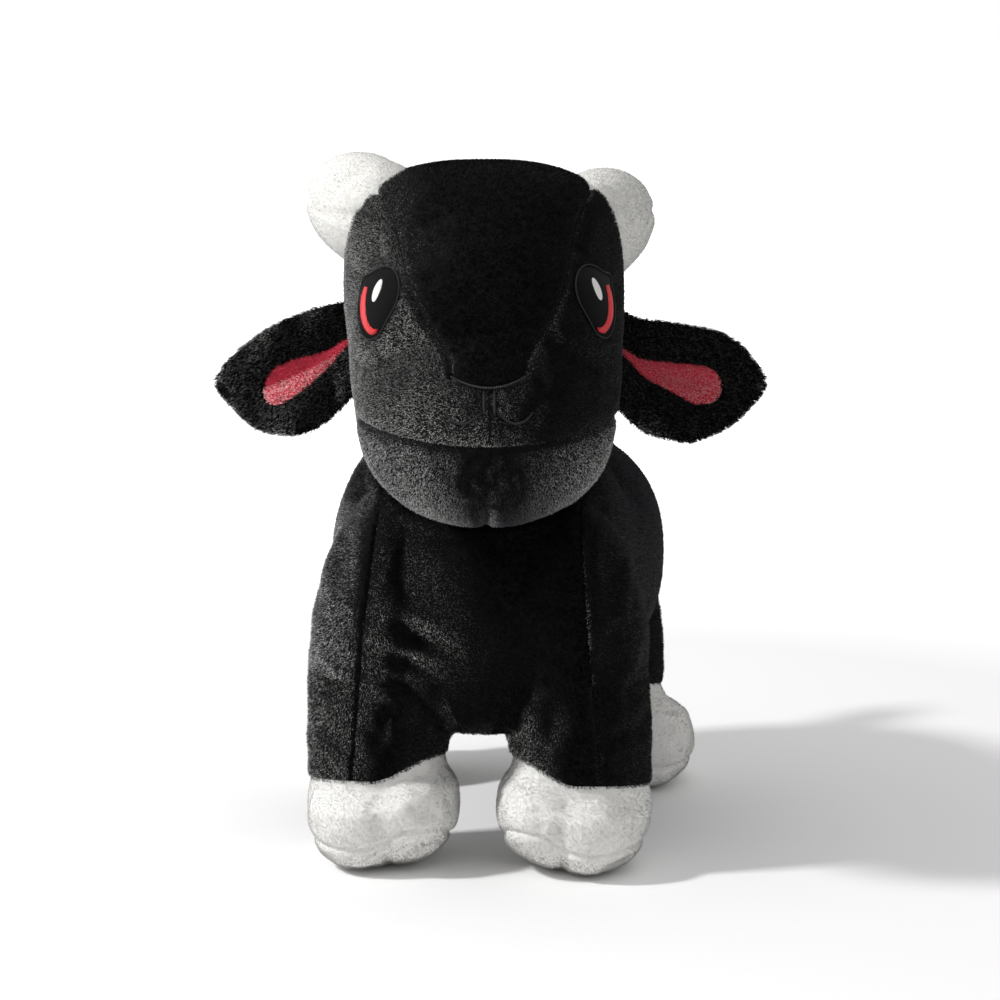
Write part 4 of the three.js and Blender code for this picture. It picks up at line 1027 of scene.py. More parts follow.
class GOAT_OT_hooves(bpy.types.Operator):
    """Cloven hooves with a seam round the sole"""

    bl_idname = "goat.hooves"
    bl_label = "Hooves"

    def execute(self, context):
        for kind in LEGS:
            for side, sign in SIDES:
                self.hoof(kind, side, sign)
        return {"FINISHED"}

    def hoof(self, kind, side, sign):
        """Upper and sole of one hoof."""
        leg, name = LEGS[kind], f"{kind}_{side}"
        middle = np.array((sign * leg["hoof"] + leg["aside"], leg["y"], 0))

        def sole(p):
            return over_sole(p, kind, sign)

        points, quads = skin_of(
            lambda p: hoof_field(p, kind, sign) + HOOF_INSET, middle - (40, 50, 5), middle + (40, 50, 70), 2.8
        )
        held = (np.abs(sole(points)) < 2) | (points[:, 2] < 1.5) | (below_hoof_seam(points) < 2)
        points, triangles = stuffed(points, quads, held, 1.6)
        points, triangles = ruled(points, triangles, (sole,))
        points = drawn_in(points, triangles, np.where(points[:, 2] < 0.7, FAR, np.abs(sole(points))), 1.1)
        points[:, 2] = np.maximum(points[:, 2], 0.5)
        points, triangles = split_along(points, triangles, below_hoof_seam(points) + 0.4)
        skin = (points, normals_of(points, triangles))
        centre = points[triangles].mean(1)
        shown = below_hoof_seam(centre) > -0.4
        upper = sole(centre) > 0
        clip = clip_to(sole, 0.3, 1.6)
        # Both hoof pieces take the horns' grey painted lighter, painted light for the hooves' weaker lighting.
        panel("hoof_upper_" + name, skin, triangles[shown & upper], TRUNK_PLACE, "torso",
              ["hoof_upper_" + name, "hoof_stuffing_" + name], "pale", toward(0, -0.3, -1), "hoof", None, clip)
        panel("hoof_sole_" + name, skin, triangles[shown & ~upper], TRUNK_PLACE, "torso",
              ["hoof_sole_" + name], "pale", toward(0, -0.6, 0.4), "hoof", lambda r: r[:, 2] > 1.4, clip)


class GOAT_OT_tail(bpy.types.Operator):
    """Short tail with a seam along its middle"""

    bl_idname = "goat.tail"
    bl_label = "Tail"

    def execute(self, context):
        middles = TAIL_ROOT + np.linspace(0, TAIL_LENGTH, 18)[:, None] * TAIL_AIM
        radii = np.linspace(*TAIL_RADII, 18)
        points, quads = skin_of(
            lambda p: beads_field(p, middles, radii), TAIL_ROOT - 18, TAIL_ROOT + (18, 40, 40), 2.4
        )

        def seam(p):
            return np.abs(p[:, 0])

        points, triangles = stuffed(points, quads, seam(points) < 1.5, 1.2)
        points = drawn_in(points, triangles, seam(points), 1.0)
        skin = (points, normals_of(points, triangles))
        start, end = (placed(TAIL_ROOT + reach * TAIL_AIM, TRUNK_PLACE) for reach in (-3.0, 9.0))
        panel("tail_cover", skin, triangles, TRUNK_PLACE, "tail", ["tail_cover", "tail_stuffing"], "slate",
              toward(*TAIL_AIM), "tail", None, clip_to(seam, 0.6), ("torso", "tail", start, end))
        return {"FINISHED"}


# Head


def gusset_half_width(points):
    """Half width of the face gusset at each point's height, on the face or on the nape."""
    front = np.interp(points[:, 2], GUSSET_Z, GUSSET_FRONT)
    back = np.interp(points[:, 2], NAPE_Z, NAPE_BACK)
    share = fade(NAPE_Y - points[:, 1], 3)
    return front * (1 - share) + back * share


def nose_height(x):
    """Height of the sagging nose line: its ends stand a little above its middle."""
    return NOSE["z"] + NOSE["rise"] * (x / NOSE["half"]) ** 2


def face_edge(points):
    """Distance outside the face gusset, which ends at the nose line."""
    side = (np.abs(points[:, 0]) - gusset_half_width(points)) * 0.88
    under = np.where(points[:, 1] < NAPE_Y, nose_height(points[:, 0]) - points[:, 2], -50.0)
    return np.maximum(side, under)


def mouth_height(x):
    return MOUTH["z"] + MOUTH["rise"] * (x / MOUTH["half"]) ** 2


def chin_edge(points):
    """Distance outside the chin, below the mouth seam and in front of the throat."""
    return np.maximum(points[:, 2] - mouth_height(points[:, 0]), points[:, 1] - MOUTH["back"])


def face_seam(points):
    """Distance to the seams beside the face gusset."""
    beside = (np.abs(points[:, 0]) > NOSE["half"] - 1) | (points[:, 1] > NAPE_Y)
    return np.where(beside, np.abs(face_edge(points)), FAR)


def dart_seam(points):
    """Distance to the short seam under the chin."""
    below = (chin_edge(points) < 0) & (points[:, 2] < CHIN_DART_Z)
    return np.where(below, np.abs(points[:, 0]), FAR)


def head_seams(points):
    """Distance to the nearest seam of the head."""
    return np.minimum.reduce([face_seam(points), np.abs(chin_edge(points)), dart_seam(points)])


def base_head(points):
    return head_field(points) + HEAD_INSET


def onto_head(points, way):
    """Points carried along a way until they meet the head's skin, by halving the span between out and in."""
    near, far = np.zeros(len(points)), np.full(len(points), 90.0)
    for _ in range(40):
        middle = (near + far) / 2
        inside = base_head(points + middle[:, None] * way) < 0
        near, far = np.where(inside, near, middle), np.where(inside, middle, far)
    return points + near[:, None] * way


def eye_points(flat, sign):
    """Places on the eye's plane set on the head."""
    flat = np.asarray(flat, float)
    mirror = np.array((sign, 1, 1))
    plane = EYE["middle"] + flat[:, :1] * EYE["out"] + flat[:, 1:] * EYE["up"] + 45 * EYE["normal"]
    return onto_head(plane * mirror, -EYE["normal"] * mirror)


def eye_plane(points):
    """Places on the nearer eye's plane, and whether they are on the eye's side of the head."""
    offset = np.abs(points * (1, 0, 0)) + points * (0, 1, 1) - EYE["middle"]
    return np.stack((offset @ EYE["out"], offset @ EYE["up"]), 1), np.abs(offset @ EYE["normal"]) < 16


def inside_outline(flat, outline):
    """True for places inside an outline: a line from the place crosses its sides an odd number of times."""
    a = np.asarray(outline, float)
    b = np.roll(a, -1, 0)
    x, y = flat[:, :1], flat[:, 1:]
    spans = (a[:, 1] > y) != (b[:, 1] > y)
    rise = np.where(b[:, 1] == a[:, 1], 1e-9, b[:, 1] - a[:, 1])
    return (spans & (x < a[:, 0] + (y - a[:, 1]) * (b[:, 0] - a[:, 0]) / rise)).sum(1) % 2 == 1


def line_distance(flat, line):
    """Distance of flat places to a line of points."""
    a, b = np.asarray(line[:-1], float), np.asarray(line[1:], float)
    way = b - a
    offset = flat[:, None, :] - a
    t = np.clip((offset * way).sum(2) / (way**2).sum(1), 0, 1)
    return np.linalg.norm(offset - t[:, :, None] * way, axis=2).min(1)


def nose_lines():
    """The stitched lines of the nose in front view: top line, two philtrum rows and two nostrils."""
    x = np.linspace(-NOSE["half"], NOSE["half"], 25)
    lines = {"nose_line": [np.stack((x, nose_height(x)), 1)]}
    z = np.linspace(*PHILTRUM_Z, 12)
    lines["philtrum_line"] = [np.stack((np.full(12, s * PHILTRUM_X), z), 1) for s in (1, -1)]
    for side, sign in SIDES:
        lines["nostril_" + side] = [curve_through(NOSTRIL, 21) * (-sign, 1)]
    return lines


def off_embroidery(points):
    """Distance outside the eyes' patches and the nose's lines, zero inside."""
    flat, near = eye_plane(points)
    outline = np.asarray(EYE_OUTLINE)
    gap = line_distance(flat, np.concatenate([outline, outline[:1]]))
    eye = np.where(near, np.where(inside_outline(flat, outline), 0, gap), FAR)
    front = points[:, (0, 2)]
    nose = np.minimum.reduce([line_distance(front, line) for rows in nose_lines().values() for line in rows])
    return np.minimum(eye, np.where(points[:, 1] < FRONT_Y, nose, FAR))


class GOAT_OT_head(bpy.types.Operator):
    """Face gusset, cheeks and chin, cut from one stuffed skin"""

    bl_idname = "goat.head"
    bl_label = "Head"

    def execute(self, context):
        points, quads = skin_of(base_head, *HEAD_SPACE)
        neck = (np.linalg.norm(points, axis=1) < NECK_BALL + 2) & (points[:, 2] < -20)
        held = (head_seams(points) < 2.5) | (off_embroidery(points) < 3) | neck
        points, triangles = stuffed(points, quads, held, 1.2)
        points, triangles = ruled(points, triangles, (face_edge, chin_edge))
        points = drawn_in(points, triangles, face_seam(points), 1.0)
        points = drawn_in(points, triangles, chin_edge(points), 0.9)
        points = drawn_in(points, triangles, dart_seam(points), 0.5)
        stitches = np.where(points[:, 1] < FRONT_Y, off_embroidery(points) * 1.3, FAR)
        points = drawn_in(points, triangles, stitches, 0.7)
        points, triangles = split_along(points, triangles, points[:, 0])
        skin = (points, normals_of(points, triangles))
        middle = points[triangles].mean(1)
        away = np.linalg.norm(middle, axis=1)
        shown = (away > 40) & ~((away < NECK_BALL) & (middle[:, 2] < -44))
        gusset = face_edge(middle) < 0
        chin = chin_edge(middle) < 0

        def clip(root):
            short = 1 - 0.65 * np.exp(-((head_seams(root) / 1.5) ** 2))
            return short * (1 - 0.45 * np.exp(-((off_embroidery(root) / 1.3) ** 2)))

        def clear(root):
            spot = root @ HEAD_PLACE[0].T + NECK
            hidden = joined([trunk_field(spot), leg_field(spot)], LEG_JOIN) < -10
            return (off_embroidery(root) > 0.5) & ~hidden

        panel("face_gusset", skin, triangles[shown & gusset], HEAD_PLACE, "head", ["face_gusset", "head_stuffing"],
              "black", toward(1, 0.3, 0.2), "face", clear, clip)
        for side, sign in SIDES:
            half = shown & ~gusset & (middle[:, 0] * sign > 0)
            panel("head_side_" + side, skin, triangles[half & ~chin], HEAD_PLACE, "head", ["head_side_" + side],
                  "black", toward(0.2 * sign, 1, -0.25), "cheek", clear, clip)
            panel("chin_panel_" + side, skin, triangles[half & chin], HEAD_PLACE, "head", ["chin_panel_" + side],
                  "slate", toward(0, 0.5, -1), "chin", clear, clip)
        return {"FINISHED"}


def slab(top, bottom, wrap):
    """A closed body between two grids of points, rows by columns, joined round the columns if wrap is true."""
    rows, columns = top.shape[:2]
    count = rows * columns
    number = np.arange(count).reshape(rows, columns)
    beyond = np.roll(number, -1, 1) if wrap else number[:, 1:]
    here = number if wrap else number[:, :-1]
    quad = np.stack((here[:-1], beyond[:-1], beyond[1:], here[1:]), -1).reshape(-1, 4)
    if wrap:
        edges = np.stack((here[-1], beyond[-1]), 1)
    else:
        loop = np.concatenate([number[0, ::-1], number[1:, 0], number[-1, 1:], number[-2:0:-1, -1]])
        edges = np.stack((loop, np.roll(loop, -1)), 1)
    a, b = edges.T
    rim = np.stack((b, a, a + count, b + count), 1)
    if not wrap:
        rim = rim[:, ::-1]
    points = np.concatenate([top.reshape(-1, 3), bottom.reshape(-1, 3)])
    return points, np.concatenate([quad, quad[:, ::-1] + count, rim])


def cleaned(mesh):
    """Merges a mesh's doubled points, turns its faces outward and marks its sharp edges."""
    work = bmesh.new()
    work.from_mesh(mesh)
    bmesh.ops.remove_doubles(work, verts=work.verts, dist=1e-6)
    bmesh.ops.recalc_face_normals(work, faces=work.faces)
    work.to_mesh(mesh)
    work.free()
    mesh.set_sharp_from_angle(angle=math.radians(70))
    return mesh


def embroidered(name, points, faces, flat, material, nodes):
    """An embroidered piece on the head, with its thread map in metres."""
    mesh = bare_mesh(name, placed(points, HEAD_PLACE), faces)
    chart = mesh.uv_layers.new(name="cloth")
    chart.data.foreach_set("uv", (flat[faces.ravel()] * MM).astype(np.float32).ravel())
    show(name, cleaned(mesh), material, "head", nodes)


def patch(flat, sign, height):
    """Embroidery over a grid of flat places on the eye's plane: the top stands up in a low dome, highest inside."""
    rows, columns = flat.shape[:2]
    ground = eye_points(flat.reshape(-1, 2), sign)
    normal = unit(slope_of(base_head, ground))
    top = ground + normal * height.reshape(-1, 1)
    return top.reshape(rows, columns, 3), (ground - 0.6 * normal).reshape(rows, columns, 3)


def cord_on_head(line, half_width, height, sign=None):
    """Stitched cord along a flat line on the head's skin: an oval section carried along it. It tapers to its ends, or
    with a sign runs in a closed ring round that side's eye."""
    closed = sign is not None
    if closed:
        ground = eye_points(line, sign)
        ahead = unit(np.roll(ground, -1, 0) - np.roll(ground, 1, 0))
        taper = np.ones(len(line))
    else:
        before = np.stack((line[:, 0], np.full(len(line), -140.0), line[:, 1]), 1)
        ground = onto_head(before, np.array((0, 1.0, 0)))
        ahead = unit(np.gradient(ground, axis=0))
        taper = np.sin(np.linspace(0.25, math.pi - 0.25, len(line))) ** 0.4
    normal = unit(slope_of(base_head, ground))
    aside = np.cross(ahead, normal)
    turn = np.linspace(0, 2 * math.pi, 10, endpoint=False)
    middle = ground + height * normal
    wide = (half_width * taper)[:, None, None]
    ring = (
        middle[:, None]
        + wide * np.cos(turn)[None, :, None] * aside[:, None]
        + 0.75 * wide * np.sin(turn)[None, :, None] * normal[:, None]
    )
    count, sides = ring.shape[:2]
    number = np.arange(count * sides).reshape(count, sides)
    beside = np.roll(number, -1, 1)
    points = ring.reshape(-1, 3)
    flat = np.stack((np.repeat(run_along(ground), sides), np.tile(turn, count)), 1)
    if closed:
        after = [np.roll(row, -1, 0) for row in (beside, number)]
        return points, np.stack((number, beside, *after), -1).reshape(-1, 4), flat
    faces = [np.stack((number[:-1], beside[:-1], beside[1:], number[1:]), -1).reshape(-1, 4)]
    for end, row in enumerate((0, count - 1)):
        hub = np.full(sides, count * sides + end)
        faces.append(np.stack((number[row], beside[row], hub, hub), 1))
    points = np.concatenate([points, middle[:1], middle[-1:]])
    return points, np.concatenate(faces), np.concatenate([flat, flat[:1], flat[-1:]])


class GOAT_OT_face(bpy.types.Operator):
    """Satin-stitched eyes and the stitched nose"""

    bl_idname = "goat.face"
    bl_label = "Eyes and nose"

    def execute(self, context):
        colours = context.scene.goat_colours
        threads = {
            "black": thread_material("Black satin stitch", tuple(colours.thread), 0.55, math.radians(35), 0.6, 0.08),
            "border": thread_material("Black border stitch", tuple(colours.border), 0.6, 0.0),
            "red": thread_material("Red satin stitch", tuple(colours.red), 0.55, math.radians(80), 0.45, 0.5),
            "white": thread_material("White satin stitch", tuple(colours.white), 0.5, math.radians(10), 0.5, 0.4),
        }
        cord = thread_material("Black stitched cord", tuple(colours.thread), 0.8, 0.0, 0.45, 0.35)
        for side, sign in SIDES:
            self.eye(side, sign, threads)
        for name, lines in nose_lines().items():
            made = [cord_on_head(line, 0.6, 0.7) for line in lines]
            offsets = np.cumsum([0] + [len(m[0]) for m in made[:-1]])
            points, flat = (np.concatenate([m[i] for m in made]) for i in (0, 2))
            faces = np.concatenate([m[1] + o for m, o in zip(made, offsets)])
            embroidered(name, points, faces, flat, cord, [name])
        return {"FINISHED"}

    def eye(self, side, sign, threads):
        """Patch, border, crescent and highlight of one eye."""
        high = millimetres("thread")
        outline = curve_through(np.concatenate([EYE_OUTLINE, EYE_OUTLINE[:1]]), 97)[:-1]
        centre = outline.mean(0)
        scale = np.linspace(0, 1, 19)[:, None, None]
        flat = centre + scale * (outline - centre)[None]
        self.stitch("eye_patch_" + side, flat, high * (1 - 0.45 * scale[:, :, 0] ** 6), sign, True, threads["black"],
                    "black_thread", flat)
        ring = centre + 1.03 * (outline - centre)
        points, faces, run = cord_on_head(ring, 0.32, 0.85 * high, sign)
        embroidered("eye_border_" + side, points, faces, run, threads["border"], [])
        outer, inner = curve_through(CRESCENT_OUTER, 41), curve_through(CRESCENT_INNER, 41)
        across = np.linspace(0, 1, 9)[None, :]
        flat = inner[:, None] + across[:, :, None] * (outer - inner)[:, None]
        rows = np.stack(np.broadcast_arrays(np.linspace(0, 26, 41)[:, None], across * 3), -1)
        self.stitch("eye_crescent_" + side, flat, high + 0.75 * np.sin(math.pi * across) ** 0.6 - 0.1, sign, False,
                    threads["red"], "red_thread", rows)
        angle = np.linspace(0, 2 * math.pi, 48, endpoint=False)
        oval = np.stack((np.cos(angle), np.sin(angle)), 1) * HIGHLIGHT["half"]
        scale = np.linspace(0, 1, 9)[:, None, None]
        flat = np.asarray(HIGHLIGHT["middle"]) + scale * (oval @ turn_about_z(HIGHLIGHT["lean"])[:2, :2])[None]
        self.stitch("eye_highlight_" + side, flat, high + 0.55 * (1 - scale[:, :, 0] ** 3), sign, True,
                    threads["white"], "white_thread", flat)

    def stitch(self, name, flat, height, sign, wrap, thread, slot, chart):
        """One patch of thread over a grid of flat places, with the thread map of both its faces."""
        points, faces = slab(*patch(flat, sign, np.broadcast_to(height, flat.shape[:2])), wrap)
        embroidered(name, points, faces, np.concatenate([chart.reshape(-1, 2)] * 2), thread, [name])


class GOAT_OT_horns(bpy.types.Operator):
    """Stubby horns with a seam along them"""

    bl_idname = "goat.horns"
    bl_label = "Horns"

    def execute(self, context):
        for side, sign in SIDES:
            path = curve_through(np.array(HORN_PATH) * (sign, 1, 1) + (0, 0, HORN_LIFT[sign]), 60)
            run = run_along(path)
            place = np.linspace(20, run[-1] - 12, 26)
            middles = np.stack([np.interp(place, run, path[:, i]) for i in range(3)], 1)
            radii = HORN_RADIUS - HORN_TAPER * place / run[-1]
            points, quads = skin_of(
                lambda p: beads_field(p, middles, radii), middles.min(0) - 28, middles.max(0) + 28, 3.0
            )

            def seam(p):
                """Distance to the seam along the horn's outer flank and over its end."""
                return np.abs(p[:, 2] - np.interp(p[:, 1], middles[:, 1], middles[:, 2] + 3))

            points, triangles = stuffed(points, quads, seam(points) < 1.5, 1.6)
            points = drawn_in(points, triangles, seam(points), 0.5)
            skin = (points, normals_of(points, triangles))
            outside = head_field(points[triangles].mean(1)) > -6
            panel("horn_cover_" + side, skin, triangles[outside], HEAD_PLACE, "head",
                  ["horn_cover_" + side, "horn_stuffing_" + side], "grey", toward(0.3 * sign, 1, -0.2), "horn",
                  lambda root: head_field(root) > -0.5, clip_to(seam, 0.4, 1.6))
        return {"FINISHED"}


# Ears

EAR = {"y": 14.0, "z": 17.5, "out": 5.4, "layer": 3.0, "cup": 13.0, "sweep": -4.0}
# Each ear: its length, and its half width and the height of its middle at shares of the length. The two hang unlike.
EAR_SHARES = (-0.1, 0.0, 0.15, 0.3, 0.5, 0.7, 0.85, 1.0)
EAR_SHAPE = {
    1.0: {
        "length": 62.0,
        "half": (19, 20.8, 23.3, 24, 24.2, 22.3, 19.6, 14),
        "middle": (1, -2.5, -9.5, -11, -13, -12.2, -12.5, -13),
    },
    -1.0: {
        "length": 55.5,
        "half": (19, 19.8, 23.6, 24.8, 23.8, 21.3, 17, 13),
        "middle": (4, 2.5, -3, -6.5, -9.5, -12, -12, -12),
    },
}
# Each lining's reach along the ear and its height at the root, as shares of the ear's length and half width
LINING = {1.0: (0.75, 0.19), -1.0: (0.69, 0.12)}
LINING_START = -0.04
LINING_FALL = 0.34


def ear_fold(along):
    """Where the ear folds lengthwise, as a share of its half width: above the middle at the root, below it outward."""
    return 0.27 - 0.7 * along


def ear_sheet(along, across, sign):
    """Middle sheet of an ear in its own millimetres. Along runs from root to tip and across from lower to upper edge.
    The half width and the middle's height follow smooth curves through the ear's shape and the end is rounded by
    sqrt(1 - along ^ 5). The sheet comes forward on both sides of its fold, by cup * (sqrt(d ^ 2 + 0.12 ^ 2) - 0.12) at
    a distance d from it, further below the fold than above, and the tip sweeps a little back."""
    along, across = np.broadcast_arrays(along, across)
    shape = EAR_SHAPE[sign]
    fine = np.linspace(EAR_SHARES[0], 1, 200)
    window = np.hanning(27)[1:-1] / np.hanning(27).sum()
    curves = {}
    for name in ("half", "middle"):
        padded = np.pad(np.interp(fine, EAR_SHARES, shape[name]), 12, mode="reflect", reflect_type="odd")
        curves[name] = np.interp(along, fine, np.convolve(padded, window, "valid"))
    a = np.clip(along, 0, 1)
    rounding = np.sqrt(1 - a**5)
    off = across - ear_fold(a)
    cup = EAR["cup"] * np.sin(math.pi * np.clip(a, 0.1, 0.9)) ** 0.7
    forward = cup * (np.sqrt(off**2 + 0.0144) - 0.12) * np.where(off > 0, 0.1, 1.4) + EAR["sweep"] * a**1.6
    z = curves["middle"] + curves["half"] * rounding * across
    return np.stack((sign * along * shape["length"], -forward, z), -1), rounding


def ear_face(along, across, sign, facing, lift):
    """Outer face of one layer: the middle sheet moved along its normal by the layer's thickness and a lift."""
    reach = 1e-3
    sheet, rounding = ear_sheet(along, across, sign)
    du = ear_sheet(along + reach, across, sign)[0] - ear_sheet(along - reach, across, sign)[0]
    dv = ear_sheet(along, across + reach, sign)[0] - ear_sheet(along, across - reach, sign)[0]
    normal = unit(np.cross(du, dv))
    normal = normal * np.where(normal[..., 1:2] * facing < 0, -1, 1)
    edge = np.sqrt(np.maximum(0, 1 - np.abs(across) ** 2.6)) * (0.4 + 0.6 * rounding)
    thick = EAR["layer"] * edge + lift
    return sheet + normal * thick[..., None]


def ear_ripple(along, across):
    """How far the ear's edges wave forward and back, as offsets."""
    return (0.9 * np.sin(along * 17 + across * 2.1) * np.abs(across) ** 3)[..., None] * (0, 1, 0)


def lining_width(along):
    return 0.07 + 0.46 * along


def lining_place(along, across, sign):
    """Place on the ear of a place on its lining: narrow at the root, widest past the middle, round at its end."""
    reach, level = LINING[sign]
    wide = lining_width(along) * np.sqrt(np.maximum(0, 1 - along**9))
    return LINING_START + reach * along, level - LINING_FALL * along + across * wide


class GOAT_OT_ears(bpy.types.Operator):
    """Folded leaf-shaped ears with a pink lining"""

    bl_idname = "goat.ears"
    bl_label = "Ears"

    def execute(self, context):
        for side, sign in SIDES:
            start = onto_head(np.array(((sign * 90.0, EAR["y"], EAR["z"]),)), np.array((-sign, 0.0, 0.0)))[0]
            root = start + np.array((sign * EAR["out"], 0, 0))
            bend = ("head", "ear_" + side, *(placed(root + (sign * way, 0, 0), HEAD_PLACE) for way in (-5, 10)))
            for layer, facing in (("back", 1.0), ("front", -1.0)):
                self.layer(f"ear_{layer}_{side}", root, sign, facing, bend)
            self.lining(side, root, sign, bend)
        return {"FINISHED"}

    def layer(self, name, root, sign, facing, bend):
        """One layer of black plush, its pile longest at the tip and left out under the lining."""
        rows = 1.0895 * np.sin(np.linspace(0, 0.5, 46) * math.pi) ** 0.9 - 0.09
        columns = np.sin(np.linspace(-math.pi / 2, math.pi / 2, 33))
        along, across = np.broadcast_arrays(rows[:, None], columns[None])
        wave = ear_ripple(along, across)
        outer = ear_face(along, across, sign, facing, 0.25) + root + wave
        inner = ear_sheet(along, across, sign)[0] + root + (0, 0.1 * facing, 0) + wave
        a, c = lining_place(np.linspace(0, 1, 40)[:, None], np.array((-1.0, 1.0))[None], sign)
        rim = ear_face(*np.broadcast_arrays(a, c), sign, -1.0, 0.3) + root
        outline = np.concatenate([rim[:, 0], rim[::-1, 1]])[:, (0, 2)]

        def keep(spot):
            inside = inside_outline(spot[:, (0, 2)], outline) & (facing < 0)
            return ~inside & (sign * (spot[:, 0] - root[0]) > -4)

        def clip(spot):
            return 0.75 + 0.4 * np.clip(sign * (spot[:, 0] - root[0]) / EAR_SHAPE[sign]["length"], 0, 1)

        self.cover(name, outer, inner, "black", toward(sign, 0.25 * facing, -0.45), "ear", bend, keep, clip)

    def lining(self, side, root, sign, bend):
        """The pink lining, a low dome of short plush let into the front layer."""
        s, t = np.broadcast_arrays(np.linspace(0, 1, 30)[:, None] ** 0.8, np.linspace(-1, 1, 17)[None])
        a, c = lining_place(s, t, sign)
        dome = 0.7 * np.sqrt(np.maximum(0, 1 - t**2)) * np.sqrt(np.maximum(0, 1 - s**9)) + 0.05
        top, bottom = (ear_face(a, c, sign, -1.0, lift) + root + ear_ripple(a, c) for lift in (0.3 + dome, -0.3))

        def painted_light(spot):
            """Painted light below the lining's fold and painted shade above it. The toy's left
            ear lies flatter and is only painted lighter toward its lower end."""
            shape = EAR_SHAPE[sign]
            out = sign * (spot[:, 0] - root[0]) / shape["length"]
            wide, level = (np.interp(out, EAR_SHARES, shape[key]) for key in ("half", "middle"))
            s = np.clip((out - LINING_START) / 0.73, 0, 1)
            t = ((spot[:, 2] - root[2] - level) / wide - lining_place(s, 0.0, sign)[1]) / lining_width(s)
            if sign > 0:
                return 0.2 + 0.5 * np.clip(s * (0.7 - 0.6 * t), 0, 1)
            return 0.06 + 0.94 * np.clip((0.2 - t) / 0.16, 0, 1)

        self.cover("ear_lining_" + side, top, bottom, "pink", toward(sign, 0, -0.3), "lining_" + side, bend, painted_light=painted_light)

    def cover(self, name, outer, inner, cloth, nap, pile, bend, keep=None, clip=None, painted_light=None):
        """A closed ear piece between two grids of points, and the pile on its outer face."""
        points, faces = slab(outer, inner, False)
        count = outer.shape[0] * outer.shape[1]
        fur, backing, slot = plush(cloth)
        mesh = cleaned(bare_mesh(name, placed(points, HEAD_PLACE), faces))
        show(name, mesh, backing, bend[1], [name], bend)
        triangles = in_triangles(faces[(faces < count).all(1)])
        normals = normals_of(points, triangles)
        if ((points[:count] - points[count:]) * normals[:count]).sum() <= 0:
            normals = -normals
        fibres = strands(name + "_pile", points, normals, triangles, HEAD_PLACE, nap, pile, keep, clip, painted_light)
        show(name + "_pile", fibres, fur, bend[1], (), bend)


class GOAT_OT_neck(bpy.types.Operator):
    """Wad of filling in its black sock, from the trunk into the head"""

    bl_idname = "goat.neck"
    bl_label = "Neck filling"

    def execute(self, context):
        middle = NECK_REACH * NECK_AIM
        points, quads = skin_of(
            lambda p: swell(p, middle, *NECK_WAD) + 0.6 * np.sin(p @ np.array((0.5, 0.7, 0.4))),
            middle - 30, middle + 30, 2.6,
        )
        points, triangles = stuffed(points, quads, np.zeros(len(points), bool), 0.5)
        sock = backing_material("Black knitted sock", tuple(context.scene.goat_colours.sock))
        mesh = bare_mesh("neck_wad", placed(points, HEAD_PLACE), triangles)
        show("neck_wad", mesh, sock, "neck", ["neck_wad"])
        return {"FINISHED"}


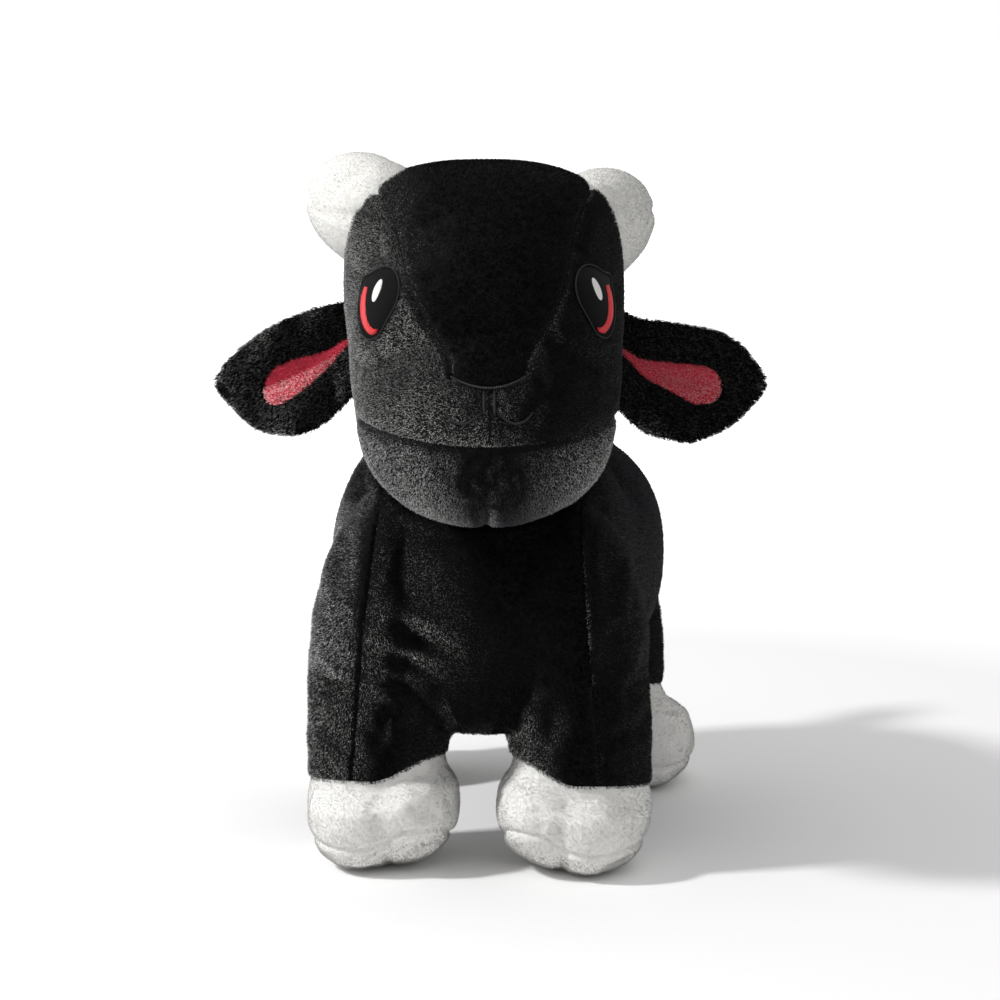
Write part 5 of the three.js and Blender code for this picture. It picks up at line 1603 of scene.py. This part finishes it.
class GOAT_OT_stage(bpy.types.Operator):
    """Pale floor, studio lamps and the camera"""

    bl_idname = "goat.stage"
    bl_label = "Stage"

    def execute(self, context):
        scene = context.scene
        scene.view_settings.view_transform = "Standard"
        corners = FLOOR_HALF * np.array(((-1, -1, 0), (1, -1, 0), (1, 1, 0), (-1, 1, 0)), float)
        floor = bpy.data.objects.new("floor", bare_mesh("floor", corners, np.array(((0, 1, 2, 3),))))
        scene.collection.objects.link(floor)
        made, tree = new_material("White studio floor")
        matt = add(tree, "ShaderNodeBsdfDiffuse", {"Color": rgba(tuple(scene.goat_colours.floor))})
        seen = add(tree, "ShaderNodeLightPath").outputs["Is Camera Ray"]
        place = add(tree, "ShaderNodeTexCoord").outputs["Object"]
        away = add(tree, "ShaderNodeVectorMath", {0: place}, operation="LENGTH").outputs["Value"]
        bright = add(tree, "ShaderNodeMapRange", {"Value": away, "From Min": GLOW_FROM, "From Max": GLOW_TO})
        lift = add(tree, "ShaderNodeMath", {0: seen, 1: bright.outputs["Result"]}, operation="MULTIPLY")
        glow = add(tree, "ShaderNodeEmission", {"Color": (1, 1, 1, 1), "Strength": lift.outputs[0]})
        both = add(tree, "ShaderNodeAddShader", {0: matt.outputs["BSDF"], 1: glow.outputs["Emission"]})
        add(tree, "ShaderNodeOutputMaterial", {"Surface": both.outputs["Shader"]})
        floor.data.materials.append(made)
        world = bpy.data.worlds.new("Studio")
        scene.world = world
        world.use_nodes = True
        tree = world.node_tree
        tree.nodes.clear()
        seen = add(tree, "ShaderNodeLightPath").outputs["Is Camera Ray"]
        way = add(tree, "ShaderNodeSeparateXYZ", {0: add(tree, "ShaderNodeTexCoord").outputs["Generated"]})
        level = add(tree, "ShaderNodeMapRange", {"Value": way.outputs["Z"], "To Min": SKY_LOW, "To Max": SKY_HIGH})
        shown = add(tree, "ShaderNodeMath", {0: level.outputs["Result"], 1: seen}, operation="MAXIMUM")
        sky = add(tree, "ShaderNodeBackground", {"Color": (1, 1, 1, 1), "Strength": shown.outputs[0]})
        add(tree, "ShaderNodeOutputWorld", {"Surface": sky.outputs["Background"]})
        lamp = bpy.data.lights.new("Key", "AREA")
        lamp.shape = "SQUARE"
        lamp.size = KEY_LAMP["size"]
        lamp.energy = KEY_LAMP["power"]
        place = np.array(KEY_LAMP["place"])
        self.aimed("Key", lamp, place, np.array(KEY_LAMP["target"]) - place)
        camera = bpy.data.cameras.new("Camera")
        camera.lens = CAMERA["lens"]
        camera.sensor_width = 36.0
        back = np.array(CAMERA["back"])
        scene.camera = self.aimed("Camera", camera, np.array(CAMERA["target"]) * MM + CAMERA["away"] * back, -back)
        return {"FINISHED"}

    def aimed(self, name, data, place, way):
        """Sets a lamp or camera, which look down their own -Z, at a place and turns it along a way."""
        thing = bpy.data.objects.new(name, data)
        bpy.context.scene.collection.objects.link(thing)
        thing.location = place
        thing.rotation_euler = Vector(way).to_track_quat("-Z", "Y").to_euler()
        return thing


STEPS = (
    GOAT_OT_torso, GOAT_OT_hooves, GOAT_OT_tail, GOAT_OT_head, GOAT_OT_face, GOAT_OT_horns, GOAT_OT_ears,
    GOAT_OT_neck, GOAT_OT_stage,
)


class GOAT_PT_panel(bpy.types.Panel):
    """Lists the goat's pieces, sizes and colours"""

    bl_idname = "GOAT_PT_panel"
    bl_label = "Plush goat"
    bl_space_type = "VIEW_3D"
    bl_region_type = "UI"
    bl_category = "Plush goat"

    def draw(self, context):
        for step in STEPS:
            self.layout.operator(step.bl_idname)
        for group in (context.scene.goat_sizes, context.scene.goat_colours):
            for name in group.bl_rna.properties.keys():
                if name not in ("rna_type", "name"):
                    self.layout.prop(group, name)


CLASSES = (GoatSizes, GoatColours, *STEPS, GOAT_PT_panel)


def register():
    for item in CLASSES:
        bpy.utils.register_class(item)
    bpy.types.Scene.goat_sizes = bpy.props.PointerProperty(type=GoatSizes)
    bpy.types.Scene.goat_colours = bpy.props.PointerProperty(type=GoatColours)


def unregister():
    del bpy.types.Scene.goat_sizes
    del bpy.types.Scene.goat_colours
    for item in reversed(CLASSES):
        bpy.utils.unregister_class(item)


def main():
    register()
    for step in STEPS:
        group, name = step.bl_idname.split(".")
        getattr(getattr(bpy.ops, group), name)()


if __name__ == "__main__":
    main()
